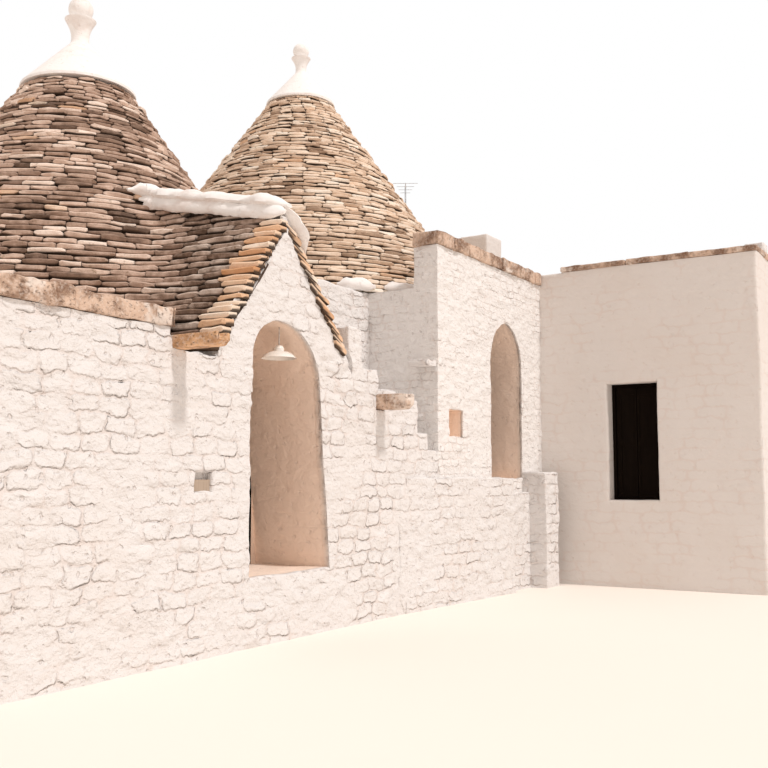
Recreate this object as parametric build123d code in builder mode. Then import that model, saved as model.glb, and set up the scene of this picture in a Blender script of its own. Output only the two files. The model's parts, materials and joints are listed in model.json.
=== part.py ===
from build123d import *
import os
from math import atan2, cos, degrees, radians, sin

# Driving sizes, in millimetres. +X runs along the facade to the right, +Y goes behind it, +Z is up.
# The origin is the middle of the plan, at the lowest ground level.

# Plan of the house
house_length = 13400    # left end wall to the outer side of the wing
house_depth = 10670     # end of the wing to the back wall
wing_width = 3400
wing_reach = 3270       # how far the wing stands forward of the facade
back_step = 500         # the right block's back wall stands this much further in
drip = 30               # how far cornices and copings stand out

# Left block, under the left cone
wall_a_top = 3050
cornice_height = 170
cone_a_left = 6020      # from the inner corner, along the facade
cone_a_back = 3735      # from the facade, towards the back
room_a_half = 2000
cone_a_radius = 3060
cone_a_loss = 0.70      # radius lost for each millimetre of height
floor_a = 650
floor_thickness = 200

# Right block, under the right cone
wall_b_top = 4050
cone_b_left = 1570
cone_b_back = 3530
room_b_half = 1900
cone_b_radius = 3120
cone_b_loss = 0.708
right_block_side = 1600     # right wall, beyond the inner corner
shoulder_left = 4700        # left edge of the high wall that carries the right cone
shoulder_back = 1050        # face of that wall behind the facade
floor_b = 1580

# Dry-stone shells
corbel_courses = 9
dome_close = 260            # radius of the closing stone's seat

# Caps and pinnacles: radius of the cap's foot, neck, cup and ball
cap_a_foot = 680
cap_a_loss = 0.77
neck_a = 113
cup_a = 198
ball_a = 155
cap_b_foot = 530
cap_b_loss = 0.705
neck_b = 88
cup_b = 165
ball_b = 132
cap_thickness = 35
cup_height_share = 1.3      # cup height over its radius
ball_seat = 12
flare_start_radius = 1.25   # of the neck's radius, where the cap starts to flare
flare_start_drop = 0.8      # of the neck's radius, below the neck
flare_neck_rise = 0.4       # of the neck's radius, above its level
flare_slope = 1.2           # upward run of the cup's rim, of the neck's radius

# Gable bay with the arched niche
gable_left = 7510
gable_right = 5370
ridge_at = 6500
gable_foot = 2760
gable_peak = 4120
ridge_rise = 0.20           # the ridge climbs towards the cone
roof_thick = 200            # upright thickness of the stone roof
roof_overhang = 40
verge = 45
ridge_cap_half = 185
ridge_cap_thick = 90
niche_left = 7030
niche_foot_right = 5710
niche_right = 5920
niche_depth = 1000
door_a_stop_left = 60       # the passage is narrower than the niche
door_a_stop_right = 90
arch_centre = 6600
arch_crown = 3150
arch_spring_left = 2720
arch_spring_right = 2500
spring_joint = 2400         # joint between the jambs and the masonry over the arch

# Valley channel left of the gable, and the drip stones
channel_left = 8120
channel_floor = 2700
channel_back = 600
spout_width = 190
spout_height = 120
spout_reach = 520
spout_trough = 50
spout_tail = 260
spout_right_at = 4720
spout_right_level = 2360
spout_right_height = 180
spout_right_reach = 400

# Small pocket in the left wall
pocket_left = 7780
pocket_width = 230
pocket_floor = 1465
pocket_height = 175
pocket_depth = 90
plug_height_share = 0.6

# Stepped wall between the gable and the tall front: right edge and top of each step
steps_right = (5110, 4780, 4390, 3870, 3620)
steps_top = (3250, 2820, 2600, 2530, 2140, 1930)

# Tall front with the pointed doorway
tall_left = 3330
parapet_thick = 350
parapet_top = 4600
coping_height = 180
coping_overhang = 45
door_b_left = 1790
door_b_right = 740
door_b_spring = 3250
door_b_peak = 3840
door_b_set = 600
recess_left = 3040
recess_width = 390
recess_floor = 2120
recess_height = 360
recess_depth = 220
knob_stone = (260, 300, 100)
knob_stone_level = 2990
knob_stone_back = 20

# Bench, step and cheek at the pointed doorway
bench_left = 4160
bench_right = 1500
bench_reach = 200          # at its right end
bench_reach_left = 20
bench_top = 1585
step_reach = 100
step_top = 1370
cheek_right = 270
cheek_left = 735
cheek_reach = 360
cheek_top = 1665
bench_round = 35

# Wing
wing_wall = 500
wing_wall_top = 4400
wing_roof_thick = 200
wing_parapet_top = 4775
wing_parapet_thick = 260
wing_coping_height = 90
wing_coping_start = 350
wing_floor = 1270
wing_door_near = 1810       # door sides, forward of the facade
wing_door_far = 1070
wing_door_head = 3000
corner_stone = (330, 300, 150)
corner_stone_from = 550     # from the wing's left face
corner_stone_round = 60

# Chimney
chimney_right = 620         # left face, beyond the inner corner
chimney_width = 580
chimney_back = 1200
chimney_depth = 510
chimney_top = 5740
flue_wall = 120
flue_depth = 500

# Doors
post = 45
frame_depth = 80
leaf_thick = 45
door_gap = 5                # running gap round a leaf
leaf_meeting_gap = 8
pin_radius = 8
pin_fit = 0.5               # radial play of a pivot pin
pin_length = 30
collar_radius = 17
collar_gap = 0.3            # play between a leaf and the collar that carries it
sill_bar = 30
stile = 70
rail = 110
panel_sink = 12
plank_count = 5
plank_groove = 6

# Pendant lamp
lamp_left = 6400
lamp_back = 170
shade_radius = 182
shade_height = 75
shade_thick = 3
shade_bend_radius = 0.75    # share of the shade's radius at its bend
shade_bend_level = 0.6      # share of the shade's height there
lamp_cap_radius = 52
lamp_cap_height = 55
lamp_crown = 0.7            # share of the cap's radius at its crown
lamp_rim = 2800
rod_radius = 6
bulb_radius = 30
holder_radius = 15
bulb_drop = 0.6             # of the bulb's radius, below its holder

# Aerial
mast_gap = 9                # to the right cone's foot
mast_back = 3370
mast_radius = 16
mast_top = 7150
boom_length = 620
boom_radius = 9
element_radius = 5
element_lengths = (460, 330, 260, 190)
aerial_turn = 31           # degrees from the facade
boom_drop = 4              # boom radii below the mast's top

# Derived places
corner_x = house_length / 2 - wing_width
facade_y = wing_reach - house_depth / 2


def along(distance):
    """X of a point that lies this far left of the inner corner."""
    return corner_x - distance


def behind(distance):
    """Y of a point that lies this far behind the facade."""
    return facade_y + distance


room_a_left = cone_a_left + room_a_half
room_a_right = cone_a_left - room_a_half
room_a_front = cone_a_back - room_a_half
room_a_back = cone_a_back + room_a_half
room_b_left = cone_b_left + room_b_half
room_b_right = cone_b_left - room_b_half
room_b_front = cone_b_back - room_b_half
room_b_back = cone_b_back + room_b_half
block_left = house_length - wing_width
block_back = house_depth - wing_reach
block_b_back = block_back - back_step
cornice_floor = wall_a_top - cornice_height
door_a_left = niche_left - door_a_stop_left
door_a_right = niche_foot_right + door_a_stop_right
door_a_head = gable_foot

os.makedirs("parts", exist_ok=True)


def save(part, name):
    """Label one finished piece and write it."""
    part.label = name
    export_step(part, f"parts/{name}.step")


def span_box(x_span, y_span, z_span, mode=Mode.ADD):
    """Add a box between three pairs of limits to the open part."""
    middle = tuple((low + high) / 2 for low, high in (x_span, y_span, z_span))
    with Locations(middle):
        Box(abs(x_span[1] - x_span[0]), abs(y_span[1] - y_span[0]), abs(z_span[1] - z_span[0]), mode=mode)


def wall_box(left, right, front, back, z_span, mode=Mode.ADD):
    """Add a box given by distances from the inner corner and from the facade."""
    span_box((along(left), along(right)), (behind(front), behind(back)), z_span, mode)


def cone_solid(left, back, base, radius, loss, top):
    """Plain outer solid of a cone, used to trim its neighbours."""
    with BuildPart() as solid:
        with Locations((along(left), behind(back), base)):
            Cone(radius, radius - loss * (top - base), top - base,
                 align=(Align.CENTER, Align.CENTER, Align.MIN))
    return solid.part


def cap_level(base, radius, loss, foot):
    """Height at which the plaster cap's foot meets the cone."""
    return base + (radius - foot) / loss


cap_a_base = cap_level(wall_a_top, cone_a_radius, cone_a_loss, cap_a_foot)
cap_b_base = cap_level(wall_b_top, cone_b_radius, cone_b_loss, cap_b_foot)
cone_a_solid = cone_solid(cone_a_left, cone_a_back, wall_a_top, cone_a_radius, cone_a_loss, cap_a_base)


def arch_outline(foot):
    """Outline of the niche opening, down to a given level, as X and Z."""
    crown = (along(arch_centre), arch_crown)
    spring_left = (along(niche_left), arch_spring_left)
    spring_right = (along(niche_right), arch_spring_right)
    lean = (niche_right - niche_foot_right) / (arch_spring_right - floor_a)
    foot_right = along(niche_right - lean * (arch_spring_right - foot))
    with BuildLine() as outline:
        EllipticalCenterArc((crown[0], arch_spring_left), niche_left - arch_centre,
                            arch_crown - arch_spring_left, start_angle=90, arc_size=90)
        EllipticalCenterArc((crown[0], arch_spring_right), arch_centre - niche_right,
                            arch_crown - arch_spring_right, start_angle=0, arc_size=90)
        Polyline(spring_left, (spring_left[0], foot), (foot_right, foot), spring_right)
    return outline.line


def pointed_outline(foot):
    """Outline of the pointed doorway, down to a given level, as X and Z."""
    half = (door_b_left - door_b_right) / 2
    rise = door_b_peak - door_b_spring
    radius = (half ** 2 + rise ** 2) / (2 * half)
    sweep = degrees(atan2(rise, radius - half))
    left = along(door_b_left)
    right = along(door_b_right)
    with BuildLine() as outline:
        CenterArc((left + radius, door_b_spring), radius, 180 - sweep, sweep)
        CenterArc((right - radius, door_b_spring), radius, 0, sweep)
        Polyline((left, door_b_spring), (left, foot), (right, foot), (right, door_b_spring))
    return outline.line


def facing(front):
    """Upright plane that faces the viewer, at a distance behind the facade."""
    return Plane(origin=(0, behind(front), 0), x_dir=(1, 0, 0), z_dir=(0, -1, 0))


def niche_solid():
    """The niche's empty space."""
    with BuildPart() as space:
        with BuildSketch(facing(0)):
            add(arch_outline(floor_a))
            make_face()
        extrude(amount=-niche_depth)
    return space.part


niche_space = niche_solid()


def ridge_level(depth):
    """Top of the gable masonry under the ridge, at a distance behind the facade."""
    return gable_peak + ridge_rise * depth


def roof_side_points(side, depth, lift, thick, reach):
    """Section of one roof slope at a depth: from the ridge line down to the eave."""
    foot = gable_left if side == "left" else gable_right
    peak = ridge_level(depth)
    slope = (peak - gable_foot) / abs(foot - ridge_at)
    away = 1 if side == "left" else -1
    low = peak + lift - slope * reach
    edge = along(ridge_at + away * reach)
    ridge_x = along(ridge_at)
    return ((ridge_x, peak + lift), (edge, low), (edge, low + thick), (ridge_x, peak + lift + thick))


def roof_slope(side):
    """One slope of the gable's stone roof, running back into the cone."""
    foot = gable_left if side == "left" else gable_right
    reach = abs(foot - ridge_at) + roof_overhang
    with BuildPart() as slope:
        for depth in (-verge, cone_a_back):
            with BuildSketch(facing(depth)):
                with BuildLine():
                    Polyline(*roof_side_points(side, depth, 0, roof_thick, reach), close=True)
                make_face()
        loft(ruled=True)
        add(cone_a_solid, mode=Mode.SUBTRACT)
        wall_box(channel_left, gable_right - roof_overhang, room_a_front, cone_a_back,
                 (0, wall_a_top), Mode.SUBTRACT)
    return slope.part


roof_left = roof_slope("left")
roof_right = roof_slope("right")


# Left block

def left_end_wall():
    """Thick wall at the left end of the house."""
    with BuildPart() as wall:
        wall_box(block_left, room_a_left, 0, block_back, (0, cornice_floor))
        wall_box(channel_left, room_a_left, 0, channel_back, (channel_floor, cornice_floor), Mode.SUBTRACT)
    save(wall.part, "left_end_wall")


def back_wall_left():
    """Back wall of the left room."""
    with BuildPart() as wall:
        wall_box(room_a_left, room_a_right, room_a_back, block_back, (0, cornice_floor))
    save(wall.part, "back_wall_left")


def front_wall_left():
    """Front wall from the left room's side to the gable bay, with the channel and the small pocket."""
    with BuildPart() as wall:
        wall_box(room_a_left, gable_left, 0, room_a_front, (0, cornice_floor))
        wall_box(room_a_left, gable_left, 0, channel_back, (channel_floor, cornice_floor), Mode.SUBTRACT)
        wall_box(pocket_left, pocket_left - pocket_width, 0, pocket_depth,
                 (pocket_floor, pocket_floor + pocket_height), Mode.SUBTRACT)
        add(roof_left, mode=Mode.SUBTRACT)
    save(wall.part, "front_wall_left")


def pocket_plug():
    """Block of wood at the back of the small pocket."""
    thick = pocket_depth / 2
    with BuildPart() as plug:
        wall_box(pocket_left, pocket_left - pocket_width, pocket_depth - thick, pocket_depth,
                 (pocket_floor, pocket_floor + pocket_height * plug_height_share))
    save(plug.part, "pocket_plug")


def arch_jambs():
    """The masonry on both sides of the niche and of the passage behind it."""
    with BuildPart() as left:
        wall_box(gable_left, niche_left, 0, room_a_front, (0, spring_joint))
        wall_box(niche_left, door_a_left, niche_depth, room_a_front, (0, spring_joint))
    save(left.part, "arch_jamb_left")
    with BuildPart() as right:
        wall_box(niche_foot_right, gable_right, 0, niche_depth, (0, floor_a))
        wall_box(niche_right, gable_right, 0, niche_depth, (floor_a, spring_joint))
        add(niche_space, mode=Mode.SUBTRACT)
        wall_box(door_a_right, gable_right, niche_depth, room_a_front, (0, spring_joint))
    save(right.part, "arch_jamb_right")


def gable_wall():
    """Pointed gable masonry over the niche, with the arched vault cut through its front."""
    with BuildPart() as wall:
        for depth in (0, cone_a_back):
            with BuildSketch(facing(depth)):
                with BuildLine():
                    Polyline((along(gable_left), spring_joint), (along(gable_left), gable_foot),
                             (along(ridge_at), ridge_level(depth)), (along(gable_right), gable_foot),
                             (along(gable_right), spring_joint), close=True)
                make_face()
        loft(ruled=True)
        wall_box(gable_left, gable_right, room_a_front, cone_a_back, (0, wall_a_top), Mode.SUBTRACT)
        wall_box(door_a_left, door_a_right, niche_depth, room_a_front, (0, door_a_head), Mode.SUBTRACT)
        add(niche_space, mode=Mode.SUBTRACT)
        add(cone_a_solid, mode=Mode.SUBTRACT)
    save(wall.part, "gable_wall")


def niche_floor():
    """Raised stone floor of the niche and of the passage behind it."""
    with BuildPart() as floor:
        wall_box(niche_left, niche_foot_right, 0, niche_depth, (0, floor_a))
        wall_box(door_a_left, door_a_right, niche_depth, room_a_front, (0, floor_a))
    save(floor.part, "niche_floor")


def stepped_wall():
    """Front wall whose top comes down in steps from the gable to the tall front."""
    edges = (gable_right, *steps_right, tall_left)
    with BuildPart() as wall:
        with BuildSketch(facing(0)):
            with BuildLine():
                profile = [(along(gable_right), 0)]
                for index, top in enumerate(steps_top):
                    profile.append((along(edges[index]), top))
                    profile.append((along(edges[index + 1]), top))
                profile.append((along(tall_left), 0))
                Polyline(*profile, close=True)
            make_face()
        extrude(amount=-shoulder_back)
        add(roof_right, mode=Mode.SUBTRACT)
        span_box((along(spout_right_at + spout_width / 2), along(spout_right_at - spout_width / 2)),
                 (behind(0), behind(spout_tail)),
                 (spout_right_level, spout_right_level + spout_right_height), Mode.SUBTRACT)
        add(cone_a_solid, mode=Mode.SUBTRACT)
    save(wall.part, "stepped_wall")


def inner_front_wall():
    """Rear half of the front wall, behind the stepped wall."""
    with BuildPart() as wall:
        wall_box(gable_right, room_a_right, shoulder_back, room_a_front, (0, wall_a_top))
        add(roof_right, mode=Mode.SUBTRACT)
    save(wall.part, "inner_front_wall")


def party_wall():
    """Wall between the two rooms, up to the left block's wall top."""
    with BuildPart() as wall:
        wall_box(room_a_right, room_b_left, shoulder_back, block_back, (0, wall_a_top))
        wall_box(room_b_left, tall_left, shoulder_back, room_b_front, (0, wall_a_top))
    save(wall.part, "party_wall")


def cornice():
    """Weathered stone course on top of the left block's walls."""
    with BuildPart() as course:
        wall_box(block_left + drip, room_a_right, -drip, block_back + drip, (cornice_floor, wall_a_top))
        wall_box(room_a_left, room_a_right, room_a_front, room_a_back, (cornice_floor, wall_a_top),
                 Mode.SUBTRACT)
        wall_box(gable_left, room_a_right, -drip, room_a_front, (cornice_floor, wall_a_top), Mode.SUBTRACT)
        wall_box(channel_left, gable_left, -drip, channel_back, (cornice_floor, wall_a_top), Mode.SUBTRACT)
        add(roof_left, mode=Mode.SUBTRACT)
        outer = course.edges().filter_by(Axis.Y).sort_by(Axis.X)[0:2]
        chamfer(outer, length=drip / 2)
    save(course.part, "cornice")


def floor_left():
    """Paved floor of the left room."""
    with BuildPart() as floor:
        wall_box(room_a_left, room_a_right, room_a_front, room_a_back, (floor_a - floor_thickness, floor_a))
    save(floor.part, "floor_left")


# Right block

def shoulder_wall():
    """High wall beside the left cone that carries the right cone."""
    with BuildPart() as wall:
        wall_box(shoulder_left, room_b_left, shoulder_back, block_b_back, (wall_a_top, wall_b_top))
        wall_box(room_b_left, tall_left, shoulder_back, room_b_front, (wall_a_top, wall_b_top))
        add(cone_a_solid, mode=Mode.SUBTRACT)
        add(roof_right, mode=Mode.SUBTRACT)
    save(wall.part, "shoulder_wall")


def tall_profile():
    """Cross-section of the tall front wall with its parapet, Y across and Z up."""
    with BuildLine() as outline:
        Polyline((behind(0), 0), (behind(0), parapet_top), (behind(parapet_thick), parapet_top),
                 (behind(parapet_thick), wall_b_top), (behind(room_b_front), wall_b_top),
                 (behind(room_b_front), 0), close=True)
    return outline.line


def tall_front():
    """Tall front wall with its parapet, pointed doorway and small recess."""
    with BuildPart() as front:
        with BuildSketch(Plane.YZ.offset(along(tall_left))):
            add(tall_profile())
            make_face()
        extrude(amount=tall_left + right_block_side)
        with BuildSketch(facing(0)):
            add(pointed_outline(floor_b))
            make_face()
        extrude(amount=-room_b_front, mode=Mode.SUBTRACT)
        wall_box(recess_left, recess_left - recess_width, 0, recess_depth,
                 (recess_floor, recess_floor + recess_height), Mode.SUBTRACT)
    save(front.part, "tall_front")


def tall_coping():
    """Rough stone coping on the tall front."""
    with BuildPart() as coping:
        wall_box(tall_left + coping_overhang, -right_block_side, -coping_overhang, parapet_thick,
                 (parapet_top, parapet_top + coping_height))
        wall_box(0, -right_block_side, -coping_overhang, 0, (parapet_top, parapet_top + coping_height),
                 Mode.SUBTRACT)
    save(coping.part, "tall_coping")


def pointed_door():
    """Plank door that closes the pointed doorway."""
    with BuildPart() as door:
        with BuildSketch(facing(door_b_set)):
            add(pointed_outline(floor_b))
            make_face()
        extrude(amount=-leaf_thick)
        pitch = (door_b_left - door_b_right) / plank_count
        for index in range(1, plank_count):
            place = along(door_b_left - index * pitch)
            span_box((place - plank_groove / 2, place + plank_groove / 2),
                     (behind(door_b_set), behind(door_b_set) + plank_groove),
                     (floor_b, door_b_peak), Mode.SUBTRACT)
    save(door.part, "pointed_door")


def knob():
    """Stone that stands out of the tall block's side wall."""
    length, depth, height = knob_stone
    with BuildPart() as stone:
        wall_box(tall_left + length, tall_left, knob_stone_back, knob_stone_back + depth,
                 (knob_stone_level, knob_stone_level + height))
        chamfer(stone.edges().filter_by(Axis.Y).sort_by(Axis.X)[0:2], length=height / 4)
    save(stone.part, "side_stone")


def right_block_walls():
    """Right and back walls of the right room, and its floor."""
    with BuildPart() as right:
        wall_box(room_b_right, -right_block_side, room_b_front, block_b_back, (0, wall_b_top))
    save(right.part, "right_wall")
    with BuildPart() as back:
        wall_box(room_b_left, room_b_right, room_b_back, block_b_back, (0, wall_b_top))
    save(back.part, "back_wall_right")
    with BuildPart() as floor:
        wall_box(room_b_left, room_b_right, room_b_front, room_b_back, (floor_b - floor_thickness, floor_b))
    save(floor.part, "floor_right")


def doorstep():
    """Bench, step and cheek in front of the pointed doorway, one mass of masonry."""
    with BuildPart() as bench:
        with BuildSketch():
            with BuildLine():
                Polyline((along(bench_left), behind(0)), (along(bench_left), behind(-bench_reach_left)),
                         (along(bench_right), behind(-bench_reach)), (along(bench_right), behind(0)), close=True)
            make_face()
        extrude(amount=bench_top)
        wall_box(bench_right, cheek_left, -step_reach, 0, (0, step_top))
        wall_box(cheek_left, cheek_right, -cheek_reach, 0, (0, cheek_top))
        cheek_edge = bench.edges().filter_by(Axis.X).sort_by(lambda edge: edge.center().Z - edge.center().Y)[-1]
        fillet(cheek_edge, radius=bench_round)
    save(bench.part, "doorstep")


# Cones, caps and pinnacles

def corbelled_cone(name, left, back, base, radius, loss, room_half, foot, trims):
    """Hollow dry-stone cone, corbelled in steps inside, trimmed where it meets its neighbours."""
    top = cap_level(base, radius, loss, foot)
    hollow_top = base + (room_half - dome_close) / loss
    course = (hollow_top - base) / corbel_courses
    with BuildPart() as cone:
        with BuildSketch(Plane.XZ.offset(-behind(back))):
            with BuildLine():
                inner = []
                for index in range(corbel_courses):
                    reach = room_half - index * (room_half - dome_close) / (corbel_courses - 1)
                    inner.append((along(left) + reach, base + index * course))
                    inner.append((along(left) + reach, base + (index + 1) * course))
                Polyline(*inner, (along(left), hollow_top), (along(left), top), (along(left) + foot, top),
                         (along(left) + radius, base), close=True)
            make_face()
        revolve(axis=Axis((along(left), behind(back), 0), (0, 0, 1)))
        for trim in trims:
            add(trim, mode=Mode.SUBTRACT)
    save(cone.part, name)


def plaster_cap(suffix, left, back, base, loss, foot, neck, cup, ball):
    """White plaster cap with its flared cup, and the ball that sits in the cup."""
    outer = foot + cap_thickness
    neck_level = base + (foot - neck) / loss
    cup_top = neck_level + cup * cup_height_share
    ball_level = cup_top + ball - ball_seat
    centre = (along(left), behind(back))
    with BuildPart() as cap:
        with BuildSketch(Plane.XZ.offset(-centre[1])):
            with BuildLine():
                rim = Polyline((centre[0], base), (centre[0] + outer, base),
                               (centre[0] + outer, base + cap_thickness))
                side = Line(rim @ 1, (centre[0] + neck * flare_start_radius, neck_level - neck * flare_start_drop))
                flare = Spline(side @ 1, (centre[0] + neck, neck_level + neck * flare_neck_rise),
                               (centre[0] + cup, cup_top), tangents=(side % 1, (cup - neck, neck * flare_slope)))
                Polyline(flare @ 1, (centre[0], cup_top), (centre[0], base))
            make_face()
        revolve(axis=Axis((*centre, 0), (0, 0, 1)))
        with Locations((*centre, ball_level)):
            Sphere(ball, mode=Mode.SUBTRACT)
    save(cap.part, f"cap_{suffix}")
    with BuildPart() as globe:
        with Locations((*centre, ball_level)):
            Sphere(ball)
    save(globe.part, f"pinnacle_ball_{suffix}")


def chimney_solid(floor):
    """Chimney's outer block from a given level."""
    with BuildPart() as block:
        wall_box(-chimney_right, -chimney_right - chimney_width, chimney_back, chimney_back + chimney_depth,
                 (floor, chimney_top))
    return block.part


def cones():
    """Both cones with their caps."""
    with BuildPart() as room_b_space:
        wall_box(room_b_left, room_b_right, room_b_front, room_b_back, (wall_a_top, wall_b_top))
    corbelled_cone("cone_left", cone_a_left, cone_a_back, wall_a_top, cone_a_radius, cone_a_loss,
                   room_a_half, cap_a_foot, (room_b_space.part, niche_space))
    corbelled_cone("cone_right", cone_b_left, cone_b_back, wall_b_top, cone_b_radius, cone_b_loss,
                   room_b_half, cap_b_foot, (cone_a_solid, chimney_solid(wall_b_top)))
    plaster_cap("left", cone_a_left, cone_a_back, cap_a_base, cap_a_loss, cap_a_foot, neck_a, cup_a, ball_a)
    plaster_cap("right", cone_b_left, cone_b_back, cap_b_base, cap_b_loss, cap_b_foot, neck_b, cup_b, ball_b)


def gable_roof():
    """Both roof slopes and the plastered ridge cap."""
    save(roof_left, "gable_roof_left")
    save(roof_right, "gable_roof_right")
    with BuildPart() as ridge:
        for depth in (-verge, cone_a_back):
            left = roof_side_points("left", depth, roof_thick, ridge_cap_thick, ridge_cap_half)
            right = roof_side_points("right", depth, roof_thick, ridge_cap_thick, ridge_cap_half)
            with BuildSketch(facing(depth)):
                with BuildLine():
                    Polyline(left[0], left[1], left[2], left[3], right[2], right[1], close=True)
                make_face()
        loft(ruled=True)
        add(cone_a_solid, mode=Mode.SUBTRACT)
    save(ridge.part, "ridge_cap")


def spout(name, middle, level, height, reach):
    """Stone trough that throws rainwater clear of the wall."""
    with BuildPart() as stone:
        wall_box(middle + spout_width / 2, middle - spout_width / 2, -reach, spout_tail, (level, level + height))
        wall_box(middle + spout_width / 2 - spout_trough, middle - spout_width / 2 + spout_trough,
                 -reach, spout_tail, (level + height - spout_trough, level + height), Mode.SUBTRACT)
        chamfer(stone.edges().filter_by(Axis.X).group_by(Axis.Z)[0].sort_by(Axis.Y)[0], length=spout_trough)
    save(stone.part, name)


# Wing

def wing_walls():
    """Walls of the wing, split beside, under and over its doorway."""
    near = -wing_reach
    full = (0, wing_wall_top)
    with BuildPart() as end_part:
        wall_box(0, -wing_width, near, near + wing_wall, full)
    save(end_part.part, "wing_end_wall")
    with BuildPart() as front_part:
        wall_box(0, -wing_wall, near + wing_wall, -wing_door_near, full)
    save(front_part.part, "wing_wall_near_door")
    with BuildPart() as rear_part:
        wall_box(0, -wing_wall, -wing_door_far, 0, full)
    save(rear_part.part, "wing_wall_beyond_door")
    with BuildPart() as over_part:
        wall_box(0, -wing_wall, -wing_door_near, -wing_door_far, (wing_door_head, wing_wall_top))
    save(over_part.part, "wing_wall_over_door")
    with BuildPart() as sill_part:
        wall_box(0, -wing_wall, -wing_door_near, -wing_door_far, (0, wing_floor))
    save(sill_part.part, "wing_door_sill")
    with BuildPart() as outer_part:
        wall_box(-wing_width + wing_wall, -wing_width, near + wing_wall, wing_wall, full)
        wall_box(-right_block_side, -wing_width + wing_wall, 0, wing_wall, full)
    save(outer_part.part, "wing_outer_wall")
    with BuildPart() as floor_part:
        wall_box(-wing_wall, -wing_width + wing_wall, near + wing_wall, 0,
                 (wing_floor - floor_thickness, wing_floor))
    save(floor_part.part, "wing_floor")


def wing_roof():
    """Flat roof, parapet, coping and corner stone of the wing."""
    roof_top = wing_wall_top + wing_roof_thick
    inner_left = -wing_parapet_thick
    inner_right = -wing_width + wing_parapet_thick
    with BuildPart() as slab:
        wall_box(0, -wing_width, -wing_reach, 0, (wing_wall_top, roof_top))
        wall_box(-right_block_side, -wing_width, 0, wing_wall, (wing_wall_top, roof_top))
        wall_box(0, -wing_width, -wing_reach, 0, (roof_top, wing_parapet_top))
        wall_box(-right_block_side, -wing_width, 0, wing_wall, (roof_top, wing_parapet_top))
        wall_box(inner_left, inner_right, -wing_reach + wing_parapet_thick, wing_wall - wing_parapet_thick,
                 (roof_top, wing_parapet_top), Mode.SUBTRACT)
    save(slab.part, "wing_roof")
    with BuildPart() as coping:
        coping_span = (wing_parapet_top, wing_parapet_top + wing_coping_height)
        wall_box(drip, -wing_width - drip, -wing_reach - drip, -wing_coping_start, coping_span)
        wall_box(-wing_width / 2, -wing_width - drip, -wing_coping_start, wing_wall, coping_span)
        wall_box(inner_left, inner_right, -wing_reach + wing_parapet_thick, wing_wall, coping_span,
                 Mode.SUBTRACT)
    save(coping.part, "wing_coping")
    with BuildPart() as stone:
        length, depth, height = corner_stone
        wall_box(-corner_stone_from, -corner_stone_from - length, -wing_reach, -wing_reach + depth,
                 (coping_span[1], coping_span[1] + height))
        fillet(stone.edges().filter_by(Axis.Z), radius=corner_stone_round)
    save(stone.part, "corner_stone")


def chimney():
    """Chimney block with its flue."""
    with BuildPart() as block:
        wall_box(-chimney_right, -chimney_right - chimney_width, chimney_back, chimney_back + chimney_depth,
                 (wall_b_top, chimney_top))
        wall_box(-chimney_right - flue_wall, -chimney_right - chimney_width + flue_wall,
                 chimney_back + flue_wall, chimney_back + chimney_depth - flue_wall,
                 (chimney_top - flue_depth, chimney_top), Mode.SUBTRACT)
    save(block.part, "chimney")


# Doors

def door_frame(name, plane, width, height):
    """Frame ring with pivot pins, drawn on an upright plane whose origin is the doorway's lower middle."""
    inner = width - 2 * post
    with BuildPart() as frame:
        with BuildSketch(plane):
            with Locations((0, height / 2)):
                Rectangle(width, height)
            with Locations((0, (sill_bar + height - post) / 2)):
                Rectangle(inner, height - post - sill_bar, mode=Mode.SUBTRACT)
        extrude(amount=-frame_depth)
        level = Plane(origin=plane.origin + plane.z_dir * -frame_depth / 2, x_dir=plane.x_dir,
                      z_dir=(0, 0, 1))
        offset_in = inner / 2 - door_gap - leaf_thick / 2
        with BuildSketch(level.offset(sill_bar)):
            with Locations((-offset_in, 0), (offset_in, 0)):
                Circle(collar_radius)
        extrude(amount=door_gap - collar_gap)
        with BuildSketch(level.offset(sill_bar)):
            with Locations((-offset_in, 0), (offset_in, 0)):
                Circle(pin_radius)
        extrude(amount=pin_length)
        with BuildSketch(level.offset(height - post)):
            with Locations((-offset_in, 0), (offset_in, 0)):
                Circle(pin_radius)
        extrude(amount=-pin_length)
    save(frame.part, name)


def door_leaf(name, plane, width, height, side):
    """One pivoted leaf with raised stiles and rails; side is -1 for the left leaf and 1 for the right."""
    inner = width - 2 * post
    bottom = sill_bar + door_gap
    top = height - post - door_gap
    axis_at = inner / 2 - door_gap - leaf_thick / 2
    leaf_span = axis_at - leaf_meeting_gap / 2
    level = Plane(origin=plane.origin + plane.z_dir * -frame_depth / 2, x_dir=plane.x_dir, z_dir=(0, 0, 1))
    with BuildPart() as leaf:
        with BuildSketch(level.offset(bottom)):
            with Locations((side * axis_at, 0)):
                Circle(leaf_thick / 2)
            with Locations((side * (axis_at - leaf_span / 2), 0)):
                Rectangle(leaf_span, leaf_thick)
        extrude(amount=top - bottom)
        sunk_width = leaf_span - stile - leaf_thick / 2
        sunk_height = (top - bottom - 3 * rail) / 2
        sunk_place = side * (leaf_meeting_gap / 2 + stile / 2 + sunk_width / 2)
        lower = bottom + rail + sunk_height / 2
        upper = top - rail - sunk_height / 2
        faces = Plane(origin=plane.origin + plane.z_dir * (leaf_thick - frame_depth) / 2,
                      x_dir=plane.x_dir, z_dir=plane.z_dir)
        with BuildSketch(faces):
            with Locations((sunk_place, lower), (sunk_place, upper)):
                Rectangle(sunk_width, sunk_height)
        extrude(amount=-panel_sink, mode=Mode.SUBTRACT)
        hole = pin_radius + pin_fit
        with BuildSketch(level.offset(bottom)):
            with Locations((side * axis_at, 0)):
                Circle(hole)
        extrude(amount=pin_length, mode=Mode.SUBTRACT)
        with BuildSketch(level.offset(top)):
            with Locations((side * axis_at, 0)):
                Circle(hole)
        extrude(amount=-pin_length, mode=Mode.SUBTRACT)
    save(leaf.part, name)


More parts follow.
